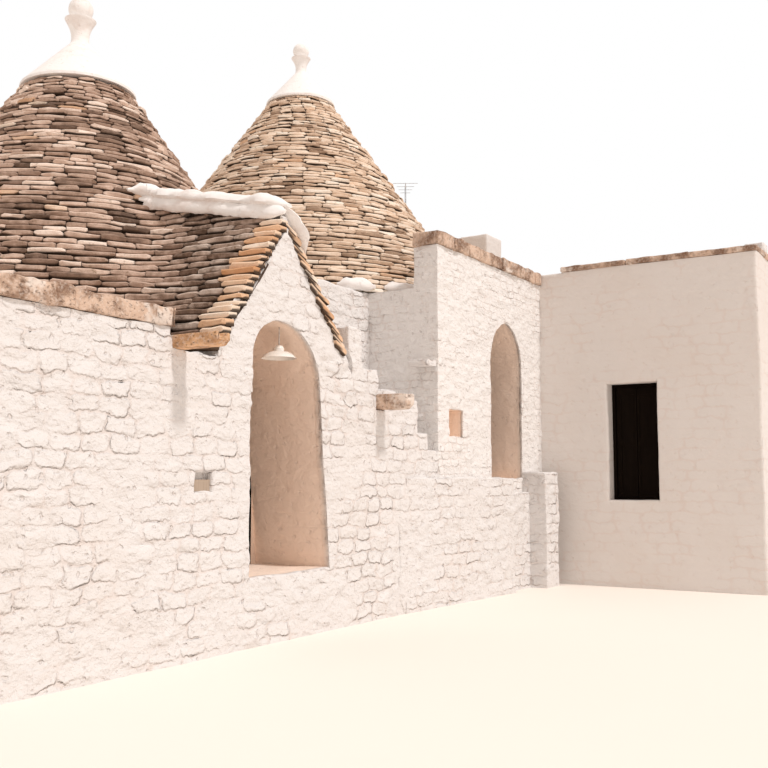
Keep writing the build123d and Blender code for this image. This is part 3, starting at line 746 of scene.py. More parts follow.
class Surroundings:
    """Tells whether a point lies inside one of the frame's solids."""

    LOOK = Vector((0.0131, 0.0217, 1.0)).normalized()

    def __init__(self, nodes: dict[str, bpy.types.Object], leave_out: Sequence[str] = ()) -> None:
        """Gather the solids, each a millimetre smaller so that touching faces stay apart.

        Args:
            nodes: The frame's nodes by name.
            leave_out: Nodes that don't count.
        """
        gathered = bmesh.new()
        for name, node in nodes.items():
            if name in leave_out:
                continue
            solid = merged_copy(node)
            solid.normal_update()
            for vert in solid.verts:
                vert.co -= vert.normal * 0.001
            passing = bpy.data.meshes.new("passing")
            solid.to_mesh(passing)
            solid.free()
            gathered.from_mesh(passing)
            bpy.data.meshes.remove(passing)
        self.tree = BVHTree.FromBMesh(gathered)
        gathered.free()

    def filled(self, point: Vector) -> bool:
        """Whether a solid fills this point."""
        normal = self.tree.ray_cast(point, self.LOOK)[1]
        return normal is not None and normal.dot(self.LOOK) > 0


@dataclass(frozen=True)
class Region:
    """A box whose effect fades out around it."""

    low: tuple[float, float, float]
    high: tuple[float, float, float]
    fade: float = 0.1

    def weight(self, point: Vector) -> float:
        """How much a point belongs to the region.

        Args:
            point: The place.

        Returns:
            1 inside, 0 beyond the fade.
        """
        past = max(max(self.low[k] - point[k], point[k] - self.high[k]) for k in range(3))
        return 1 - eased(past / self.fade)


ROOMS = (Region((along(8.05), behind(1.70), 0.6), (along(3.99), behind(5.77), 3.06), 0.01),
         Region((along(3.50), behind(1.60), 1.5), (along(-0.36), behind(5.46), 4.06), 0.01),
         Region((along(-0.45), behind(-2.81), 1.2), (along(-2.95), behind(0.04), 4.42), 0.01))
DOOR_SWINGS = (Region((along(7.05), behind(1.00), 0.6), (along(5.75), behind(1.80), 2.85), 0.08),
               Region((along(0.0) + 0.12, behind(-1.90), 1.2), (along(-0.60), behind(-0.98), 3.1), 0.08))
# Sheltered places: the niche, the pointed doorway and the small recess, with flatter stones and painted warm bounce
# light in the limewash.
SHELTERED = (Region((along(7.04), behind(0.065), 0.66), (along(5.70), behind(1.8), 3.5), 0.06),
             Region((along(1.80), behind(0.055), 1.55), (along(0.73), behind(0.62), 3.9), 0.05),
             Region((along(3.05), behind(0.05), 2.10), (along(2.64), behind(0.25), 2.5), 0.03))


class Skin(Enum):
    """What lies before a face."""

    HIDDEN = 0
    INDOORS = 1
    OUTDOORS = 2


@dataclass(frozen=True)
class Relief:
    """How far a hand-built surface stands out from the drawn one."""

    sway: float = 0.012
    stone: float = 0.024
    rough: float = 0.006
    cells: tuple[float, float, float] = (3.1, 3.1, 5.6)
    shown: float = 0.2

    def wander(self, point: Vector) -> Vector:
        """Slow move of the surface; it depends on the place alone, so neighbours keep together."""
        return noise.noise_vector(point * 1.5) * self.sway

    def swell(self, point: Vector) -> float:
        """How far single stones bulge under the coat.

        Args:
            point: A place in the row frame.

        Returns:
            The height in metres.
        """
        spot = Vector(point[k] * self.cells[k] for k in range(3))
        spot += noise.noise_vector(spot * 0.7) * 0.5
        distances, centres = noise.voronoi(spot)
        body = eased((distances[1] - distances[0]) / 0.42)
        shown = eased(noise.noise(point * 0.9) * 1.6 + 0.5 + self.shown)
        height = 0.55 + 0.45 * noise.cell(centres[0] * 7.31)
        lumps = noise.fractal(point * 7.0, 1.0, 2.0, 3) * self.rough
        return self.stone * body * height * (0.35 + 0.65 * shown) + lumps


class Mason:
    """Turns drawn solids into hand-laid masonry: worn edges, bulging stones, separate blocks."""

    COARSE = 0.24

    def __init__(self, nodes: dict[str, bpy.types.Object]) -> None:
        """Note the solids and the levels at which each has flat faces.

        Args:
            nodes: The frame's nodes by name.
        """
        self.nodes = nodes
        self.all_round = Surroundings(nodes)
        self.levels: dict[str, set[tuple[int, float]]] = {}
        for name, node in nodes.items():
            found = set()
            for face in node.data.polygons:
                for axis in range(3):
                    if abs(face.normal[axis]) > 0.9999 and face.area > 0.01:
                        found.add((axis, round(face.center[axis], 4)))
            self.levels[name] = found

    def _neighbour_levels(self, name: str) -> set[tuple[int, float]]:
        """Levels at which a touching neighbour starts or ends.

        Args:
            name: The node that is dressed.

        Returns:
            Axis and level pairs that cross the node.
        """
        low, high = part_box(name)
        crossing = set()
        for other in self.nodes:
            other_low, other_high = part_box(other)
            if other == name or any(other_low[k] > high[k] + 0.01 or other_high[k] < low[k] - 0.01
                                    for k in range(3)):
                continue
            for axis, level in self.levels[other]:
                if low[axis] + 0.02 < level < high[axis] - 0.02:
                    crossing.add((axis, level))
        return crossing

    def _open_edges(self, mesh: bmesh.types.BMesh) -> list[bmesh.types.BMEdge]:
        """Outward edges with open air beyond both faces.

        Args:
            mesh: The solid.

        Returns:
            The edges that weather has rounded.
        """
        found = []
        for edge in mesh.edges:
            if len(edge.link_faces) != 2 or edge.calc_face_angle_signed(0) < 0.5 or edge.calc_length() < 0.004:
                continue
            middle = (edge.verts[0].co + edge.verts[1].co) / 2
            if middle.z < 0.005:
                continue
            clear = True
            for loop in edge.link_loops:
                inward = loop.face.normal.cross(loop.link_loop_next.vert.co - loop.vert.co).normalized()
                if self.all_round.filled(middle + loop.face.normal * 0.012 + inward * 0.03):
                    clear = False
            if clear:
                found.append(edge)
        return found

    def _skin(self, face: bmesh.types.BMFace) -> Skin:
        """What lies before a small face."""
        middle = face.calc_center_median()
        if middle.z < 0.005 or self.all_round.filled(middle + face.normal * 0.012):
            return Skin.HIDDEN
        indoors = any(room.weight(middle) > 0.5 for room in ROOMS)
        return Skin.INDOORS if indoors else Skin.OUTDOORS

    def lay(self, name: str, piece: str, material: bpy.types.Material, slot: str,
            relief: Relief, step: float, worn: float = 0.03) -> bpy.types.Object:
        """Build the masonry piece that stands for one node.

        Args:
            name: The node.
            piece: Name of the new piece.
            material: Its material.
            slot: The record's material slot; not used.
            relief: How uneven it is.
            step: Spacing of the fine cuts, in metres.
            worn: Rounding of its open edges, in metres.

        Returns:
            The piece.
        """
        mesh = merged_copy(self.nodes[name])
        for axis, level in sorted(self._neighbour_levels(name)):
            cut(mesh, axis, level)
        mesh.normal_update()
        bmesh.ops.bevel(mesh, geom=self._open_edges(mesh), offset=worn, segments=3, profile=0.5,
                        affect="EDGES", material=-1, clamp_overlap=True)
        slice_up(mesh, self.COARSE)
        mesh.normal_update()
        outdoors = [face for face in mesh.faces if self._skin(face) is Skin.OUTDOORS]
        outdoors = slice_up(mesh, step, outdoors)
        mesh.normal_update()
        self._roughen(mesh, outdoors, relief)
        return as_piece(mesh, piece, (material,), stands_for=(name,))

    @staticmethod
    def _roughen(mesh: bmesh.types.BMesh, outdoors: Iterable[bmesh.types.BMFace], relief: Relief) -> None:
        """Move the surface and note level and sheltered places on its points.

        Args:
            mesh: The cut-up solid.
            outdoors: Its open faces.
            relief: How uneven it is.
        """
        level = mesh.verts.layers.float.new("level")
        warm = mesh.verts.layers.float.new("warm")
        facing: dict[bmesh.types.BMVert, Vector] = {}
        for face in outdoors:
            for vert in face.verts:
                facing[vert] = facing.get(vert, Vector((0, 0, 0))) + face.normal
        for vert in mesh.verts:
            place = vert.co.copy()
            free = 1 - max(region.weight(place) for region in DOOR_SWINGS)
            move = relief.wander(place) * free
            if vert in facing:
                sheltered = max(region.weight(place) for region in SHELTERED)
                outward = facing[vert].normalized()
                move += outward * relief.swell(place) * free * (1 - 0.6 * sheltered)
                vert[level] = abs(outward.z)
                # The warm mark carries painted warm bounce light into the limewash.
                vert[warm] = sheltered
            vert.co += move
            vert.co.z = max(vert.co.z, 0.0) if place.z > 0.001 else 0.0

    def blocks(self, name: str, piece: str, material: bpy.types.Material, slot: str, relief: Relief,
               planes: Sequence[tuple[int, float]], seed: int, step: float = 0.07,
               worn: float = 0.02) -> bpy.types.Object:
        """Build a node as a row of separate rough blocks.

        Args:
            name: The node.
            piece: Name of the new piece.
            material: Its material.
            slot: The record's material slot; not used.
            relief: How uneven each block is.
            planes: Axis and level of every joint.
            seed: Seed of the draws.
            step: Spacing of the fine cuts, in metres.
            worn: Rounding of the blocks' edges, in metres.

        Returns:
            The piece.
        """
        draw = random.Random(seed)
        parts = [merged_copy(self.nodes[name])]
        for axis, level in planes:
            parts = [half for part in parts for half in self._halves(part, axis, level)]
        row = bmesh.new()
        for part in parts:
            self._work_block(part, relief, draw, step, worn)
            passing = bpy.data.meshes.new("passing")
            part.to_mesh(passing)
            part.free()
            row.from_mesh(passing)
            bpy.data.meshes.remove(passing)
        return as_piece(row, piece, (material,), stands_for=(name,))

    @staticmethod
    def _halves(mesh: bmesh.types.BMesh, axis: int, level: float) -> list[bmesh.types.BMesh]:
        """Split a solid in two and close both halves.

        Args:
            mesh: The solid, freed here if it is split.
            axis: 0, 1 or 2 for a plane across X, Y or Z.
            level: Where the plane stands.

        Returns:
            The halves, or the solid alone where the plane misses it.
        """
        places = [vert.co[axis] for vert in mesh.verts]
        if level < min(places) + 0.08 or level > max(places) - 0.08:
            return [mesh]
        halves = []
        for side in (1, -1):
            normal = Vector((0, 0, 0))
            normal[axis] = side
            half = mesh.copy()
            result = bmesh.ops.bisect_plane(half, geom=half.verts[:] + half.edges[:] + half.faces[:], dist=1e-5,
                                            plane_co=normal * side * level, plane_no=normal, clear_outer=True)
            rim = [item for item in result["geom_cut"] if isinstance(item, bmesh.types.BMEdge)]
            bmesh.ops.holes_fill(half, edges=rim, sides=0)
            halves.append(half)
        mesh.free()
        return halves

    def _work_block(self, mesh: bmesh.types.BMesh, relief: Relief, draw: random.Random,
                    step: float, worn: float) -> None:
        """Round, roughen and shift one block.

        Args:
            mesh: The block.
            relief: How uneven it is.
            draw: The row's draws.
            step: Spacing of the fine cuts.
            worn: Rounding of its edges.
        """
        mesh.normal_update()
        edges = [edge for edge in mesh.edges if len(edge.link_faces) == 2 and edge.calc_face_angle(0) > 0.5]
        bmesh.ops.bevel(mesh, geom=edges, offset=worn * draw.uniform(0.7, 1.3), segments=2, profile=0.5,
                        affect="EDGES", material=-1, clamp_overlap=True)
        slice_up(mesh, step)
        mesh.normal_update()
        centre = sum((vert.co for vert in mesh.verts), Vector()) / max(1, len(mesh.verts))
        drift = Vector((draw.uniform(-1, 1), draw.uniform(-1, 1), draw.uniform(-0.3, 0.5))) * 0.009
        turn = Matrix.Rotation(math.radians(draw.gauss(0, 0.5)), 3, "Z")
        moves = {}
        for vert in mesh.verts:
            moves[vert] = vert.normal * (relief.swell(vert.co + centre) - worn * 0.3)
        for vert, move in moves.items():
            place = vert.co + move
            vert.co = centre + turn @ (place - centre) + drift

# Roofs


MARKS = ("tone", "verge", "shade")


class Track:
    """A row of points that can be walked along, and a little past both ends."""

    def __init__(self, points: Sequence[Vector]) -> None:
        """Measure the row.

        Args:
            points: The points in order.
        """
        self.points = points
        self.marks = [0.0]
        for first, second in zip(points, points[1:]):
            self.marks.append(self.marks[-1] + (second - first).length)

    @property
    def total(self) -> float:
        """Length of the whole row."""
        return self.marks[-1]

    def at(self, spot: float) -> tuple[Vector, Vector]:
        """Find a place along the row.

        Args:
            spot: Distance from its start.

        Returns:
            The place, and the direction of travel there.
        """
        index = min(max(bisect_right(self.marks, spot) - 1, 0), len(self.points) - 2)
        while index > 0 and self.marks[index + 1] - self.marks[index] < 1e-9:
            index -= 1
        way = (self.points[index + 1] - self.points[index]).normalized()
        return self.points[index] + way * (spot - self.marks[index]), way


@dataclass
class RoofForm:
    """A cone, with or without a gable growing out of it, as level outlines."""

    centre: tuple[float, float]
    base: float
    radius: float
    loss: float
    gable: bool = False
    ridge_x: float = along(6.5)
    front_y: float = behind(-0.045)
    foot_left: float = 1.01
    foot_right: float = 1.13
    foot_level: float = 2.76
    peak: float = 4.12
    rise: float = 0.20
    thick: float = 0.20
    valley: float = 1.0

    def cone_radius(self, level: float) -> float:
        """Radius of the bare cone at a level."""
        return self.radius - self.loss * (level - self.base)

    def ridge_top(self, y: float) -> float:
        """Top of the gable's stone roof over its ridge line."""
        return self.peak + self.rise * (y - FACADE_Y) + self.thick

    def gable_sides(self, y: float, level: float) -> tuple[float, float]:
        """Where the gable's slopes stand at a level.

        Args:
            y: Place along the ridge.
            level: Height.

        Returns:
            Their X on the left and on the right.
        """
        top = self.ridge_top(y)
        drop = top - level
        left = self.ridge_x - drop * self.foot_left / (top - self.thick - self.foot_level)
        right = self.ridge_x + drop * self.foot_right / (top - self.thick - self.foot_level)
        return left, right

    def outside(self, x: float, y: float, level: float) -> float:
        """Rough distance outside the roof at a level, below 0 inside.

        Args:
            x: Place along the facade.
            y: Place behind it.
            level: Height.

        Returns:
            The distance.
        """
        round_part = math.hypot(x - self.centre[0], y - self.centre[1]) - self.cone_radius(level)
        if not self.gable:
            return round_part
        left, right = self.gable_sides(y, level)
        pointed = max(left - x, x - right, self.front_y - y, y - self.centre[1])
        if level < self.base:
            return pointed
        blend = max(0.12, self.valley - 0.62 * (level - self.foot_level))
        near = max(0.0, 1.0 - abs(round_part - pointed) / blend)
        return max(min(round_part, pointed) - near * near * blend * 0.25, self.front_y - y)

    def outline(self, level: float) -> list[Vector]:
        """Level outline from the gable's front round the back to its front again.

        Args:
            level: Height of the outline.

        Returns:
            Its points; the front plane itself is left open.
        """
        start = math.atan2(self.centre[0] - self.ridge_x, self.centre[1] - self.front_y) if self.gable else 0.0
        points = []
        for index in range(721):
            turn = start + index * math.tau / 720
            way = (-math.sin(turn), -math.cos(turn))
            near, far = 0.0, 5.5
            for _ in range(20):
                middle = (near + far) / 2
                if self.outside(self.centre[0] + way[0] * middle, self.centre[1] + way[1] * middle, level) < 0:
                    near = middle
                else:
                    far = middle
            place = Vector((self.centre[0] + way[0] * near, self.centre[1] + way[1] * near, level))
            if not self.open_front(level) or place.y > self.front_y + 0.004:
                points.append(place)
        if self.open_front(level):
            left, right = self.gable_sides(self.front_y, level)
            points.insert(0, Vector((left, self.front_y, level)))
            points.append(Vector((right, self.front_y, level)))
        return points

    def open_front(self, level: float) -> bool:
        """Whether the gable's front cuts this level."""
        left, right = self.gable_sides(self.front_y, level)
        return self.gable and right - left > 0.1

    def crest(self, y: float) -> float:
        """Height of the roof's surface over the ridge line.

        Args:
            y: Place along the ridge.

        Returns:
            The highest level that is still inside.
        """
        low, high = self.foot_level, self.base + self.radius / self.loss
        for _ in range(24):
            middle = (low + high) / 2
            if self.outside(self.ridge_x, y, middle) < 0:
                low = middle
            else:
                high = middle
        return low


@dataclass
class SlabCourses:
    """Courses of rough stone slabs that follow a roof form."""

    form: RoofForm
    surroundings: Surroundings
    seed: int
    bottom: float
    top: float
    courses: tuple[float, float] = (0.078, 0.052)
    depth: float = 0.20
    long: tuple[float, float] = (0.17, 0.52)
    draw: random.Random = field(init=False)
    blank: bpy.types.Mesh = field(init=False)

    def __post_init__(self) -> None:
        """Seed the draws and cut the blank."""
        self.draw = random.Random(self.seed)
        self.blank = self._blank()

    @staticmethod
    def _blank() -> bpy.types.Mesh:
        """Make an unworked slab of unit size with a blunt nose.

        Returns:
            Its mesh.
        """
        mesh = bmesh.new()
        bmesh.ops.create_cube(mesh, size=1)
        lengthways = [edge for edge in mesh.edges if abs(edge.verts[0].co.x - edge.verts[1].co.x) > 0.5]
        nose = [edge for edge in lengthways if edge.verts[0].co.y > 0]
        bmesh.ops.bevel(mesh, geom=nose, offset=0.3, segments=1, profile=0.5, affect="EDGES", material=-1)
        lengthways = [edge for edge in mesh.edges if abs(edge.verts[0].co.x - edge.verts[1].co.x) > 0.5]
        bmesh.ops.subdivide_edges(mesh, edges=lengthways, cuts=3)
        for vert in mesh.verts:
            if 0.1 < abs(vert.co.x) < 0.4:
                vert.co.x *= 1.55
            if 0.1 < vert.co.y < 0.4:
                vert.co.y = 0.40
            elif vert.co.y > 0.45:
                vert.co.z += 0.08
        data = bpy.data.meshes.new("blank")
        mesh.to_mesh(data)
        mesh.free()
        return data

    def _lengths(self, total: float, verges: bool, longest: float) -> list[float]:
        """Share a course among its slabs.

        Args:
            total: Length of the course.
            verges: Whether its two ends are verge stones.
            longest: Greatest length of a slab.

        Returns:
            Slab lengths that add up to the total.
        """
        ends = [self.draw.uniform(0.24, 0.42) for _ in range(2)] if verges else []
        room = total - sum(ends)
        if room < self.long[0]:
            return [total / 2, total / 2] if verges else [total]
        lengths = []
        while sum(lengths) < room:
            lengths.append(self.draw.triangular(self.long[0], longest, self.long[0] + 0.3 * (longest - self.long[0])))
        scale = room / sum(lengths)
        lengths = [length * scale for length in lengths]
        return [ends[0], *lengths, ends[1]] if verges else lengths

    def _slab(self, row: bmesh.types.BMesh, track: Track, start: float, length: float,
              level: float, height: float, marks: dict[str, float]) -> None:
        """Lay one slab, bent along its course and thinner towards its ends.

        Args:
            row: Where it goes; its layers are there already.
            track: The course's outline.
            start: Where the slab starts along it.
            length: The slab's length.
            level: Its underside.
            height: Its thickness.
            marks: Numbers for its faces, by layer name.
        """
        draw = self.draw
        row.from_mesh(self.blank)
        row.verts.ensure_lookup_table()
        verts = row.verts[-len(self.blank.vertices):]
        verge = marks["verge"] > 0.9
        right_verge = verge and start > 0.01
        depth = self.depth * (1.0 if right_verge or not verge else 0.66)
        proud = draw.gauss(0.0, 0.012) + (draw.uniform(-0.01, 0.015) if verge else 0.0)
        tilt = draw.gauss(0, 0.014)
        dip = draw.uniform(0.38, 0.60) if right_verge else draw.gauss(0.04, 0.03)
        gap = draw.uniform(0.001, 0.006)
        blunt = draw.uniform(0.35, 1.0)
        low_end = start + (draw.uniform(0.015, 0.03) if verge and not right_verge else gap)
        high_end = start + length - (draw.uniform(0.0, 0.02) if right_verge else gap)
        under = row.verts.layers.float["under"]
        waves: dict[tuple[float, int], tuple[float, float]] = {}
        for vert in sorted(verts, key=lambda item: tuple(item.co)):
            u, v, w = vert.co
            end = abs(2 * u) ** 5 * blunt
            wave = waves.setdefault((round(u, 2), int(w > 0)), (draw.gauss(0, 0.005), draw.gauss(0, 0.0045)))
            # The under mark sets painted shadow on the slab's underside and, except on verge stones, towards its
            # ends.
            vert[under] = max(1.0 if w < -0.45 else 0.0, 0.0 if verge else 0.42 * end)
            place, way = track.at(low_end + (high_end - low_end) * (u + 0.5))
            out = Vector((-way.y, way.x, 0))
            back = depth * (0.5 - v)
            rise = height * (0.5 + w * (1 - 0.30 * end)) + wave[1] + tilt * u * length - dip * (depth - back)
            vert.co = place + out * (proud + wave[0] - back - 0.014 * end * (v > 0))
            vert.co.z = level + rise
        for face in {face for vert in verts for face in vert.link_faces}:
            for key in MARKS:
                face[row.faces.layers.float[key]] = marks[key]

    def _course(self, level: float, height: float) -> bmesh.types.BMesh:
        """Lay one course.

        Args:
            level: Its underside.
            height: Its thickness.

        Returns:
            Its slabs.
        """
        row = bmesh.new()
        row.verts.layers.float.new("under")
        for key in MARKS:
            row.faces.layers.float.new(key)
        track = Track(self.form.outline(level + height * 0.5))
        verges = self.form.open_front(level + height * 0.5)
        radius = self.form.cone_radius(level)
        lengths = self._lengths(track.total, verges, min(self.long[1], max(0.22, 0.36 * radius)))
        at = 0.0
        for index, length in enumerate(lengths):
            place, way = track.at(at + length / 2)
            if not self._hidden(place, way):
                marks = self._marks(place, verges and index in (0, len(lengths) - 1))
                self._slab(row, track, at, length, level, height, marks)
            at += length
        return row

    def _marks(self, place: Vector, verge: bool) -> dict[str, float]:
        """Choose the numbers that colour a slab.

        Args:
            place: Middle of the slab.
            verge: Whether it is a verge stone.

        Returns:
            Numbers by layer name.
        """
        form = self.form
        past = math.hypot(place.x - form.centre[0], place.y - form.centre[1]) - form.cone_radius(place.z)
        # Slabs of the gable's left slope beyond the cone get the shade mark: mossy growth and painted shade.
        shade = eased(past / 0.5) if form.gable and place.x < form.ridge_x else 0.0
        spot = self.draw.random()
        return {"tone": min(1.0, max(0.0, self.draw.gauss(0.52, 0.25))),
                "verge": 1.0 if verge else (0.7 if spot < 0.035 else 0.0),
                "shade": shade * self.draw.uniform(0.6, 1.0)}

    def build(self) -> bmesh.types.BMesh:
        """Lay every course.

        Returns:
            The slabs.
        """
        mesh = bmesh.new()
        level = self.bottom
        while level < self.top:
            share = (level - self.bottom) / (self.top - self.bottom)
            height = (self.courses[0] + (self.courses[1] - self.courses[0]) * share) * self.draw.uniform(0.84, 1.16)
            row = self._course(level, height * 0.94)
            passing = bpy.data.meshes.new("passing")
            row.to_mesh(passing)
            row.free()
            mesh.from_mesh(passing)
            bpy.data.meshes.remove(passing)
            level += height
        return mesh

    def _hidden(self, place: Vector, way: Vector) -> bool:
        """Whether a slab here would lie inside other masonry or inside a room.

        Args:
            place: The slab's outer middle.
            way: Direction along the course.

        Returns:
            True where it is left out.
        """
        if self.form.gable and place.z < self.form.base and place.y > behind(1.15):
            return True
        below = self.form.ridge_top(place.y) - place.z
        if (self.form.gable and abs(place.x - self.form.ridge_x) < 0.12 and 0 < below < 0.155
                and self.form.crest(place.y) < self.form.ridge_top(place.y) + 0.05):
            return True
        out = Vector((-way.y, way.x, 0))
        return self.surroundings.filled(place + out * 0.05 + Vector((0, 0, 0.01)))



class ConeRoof:
    """One dry-stone cone: dark core with its corbelled inside, and the slabs over it."""

    def __init__(self, name: str, courses: SlabCourses, palette: Palette, finish: bpy.types.Material) -> None:
        """Note what the cone is made of.

        Args:
            name: The cone's node.
            courses: Its slabs.
            palette: The finishes.
            finish: The slabs' own finish.
        """
        self.name = name
        self.form = courses.form
        self.courses = courses
        self.palette = palette
        self.finish = finish

    def core(self, node: bpy.types.Object, recess: float = 0.085) -> bpy.types.Object:
        """Copy the cone's solid with its outer face drawn in under the slabs.

        Args:
            node: The frame's cone.
            recess: How far it is drawn in.

        Returns:
            The core piece.
        """
        mesh = merged_copy(node)
        form = self.form
        for vert in mesh.verts:
            away = Vector((vert.co.x - form.centre[0], vert.co.y - form.centre[1], 0))
            if away.length > form.cone_radius(vert.co.z) - 0.03:
                vert.co -= away.normalized() * recess
        return as_piece(mesh, f"{self.name}_core", (self.palette.earth_and_shade_core,), stands_for=(self.name,))

    def slabs(self) -> bpy.types.Object:
        """Lay the slabs as one piece."""
        return as_piece(self.courses.build(), f"{self.name}_slabs", (self.finish,), stands_for=(self.name,),
                        sharp_above=31.0)


@dataclass
class Smear:
    """A hand-thrown run of lime plaster along a spine."""

    spine: Sequence[Vector]
    half: float
    thick: float
    lean: Vector = field(default_factory=lambda: Vector((0, 0, 1)))
    around: int = 14
    spacing: float = 0.045

    def add_to(self, mesh: bmesh.types.BMesh) -> None:
        """Sweep the lumpy run and close its ends.

        Args:
            mesh: Where it goes.
        """
        track = Track(self.spine)
        steps = max(4, round(track.total / self.spacing))
        verts = bmesh.ops.create_grid(mesh, x_segments=steps, y_segments=self.around, size=0.5)["verts"]
        for vert in verts:
            share = vert.co.x + 0.5
            angle = (vert.co.y + 0.5) * math.tau
            here, way = track.at(share * track.total)
            side = way.cross(self.lean).normalized()
            up = side.cross(way).normalized()
            taper = 0.25 + 0.75 * eased(min(share, 1 - share) * track.total / (self.half * 1.2))
            bare = here + side * math.cos(angle) * self.half * taper + up * math.sin(angle) * self.thick * taper
            lumps = 1 + 0.32 * noise.noise(bare * 5.0) + 0.16 * noise.noise(bare * 14.0)
            flat = 0.45 if math.sin(angle) < 0 else 1.0
            vert.co = (here + side * math.cos(angle) * self.half * taper * lumps
                       + up * math.sin(angle) * self.thick * taper * flat * lumps)
        bmesh.ops.remove_doubles(mesh, verts=verts, dist=1e-4)
        rim = [edge for edge in mesh.edges if edge.is_boundary]
        bmesh.ops.holes_fill(mesh, edges=rim, sides=0)
        bmesh.ops.recalc_face_normals(mesh, faces=mesh.faces[:])


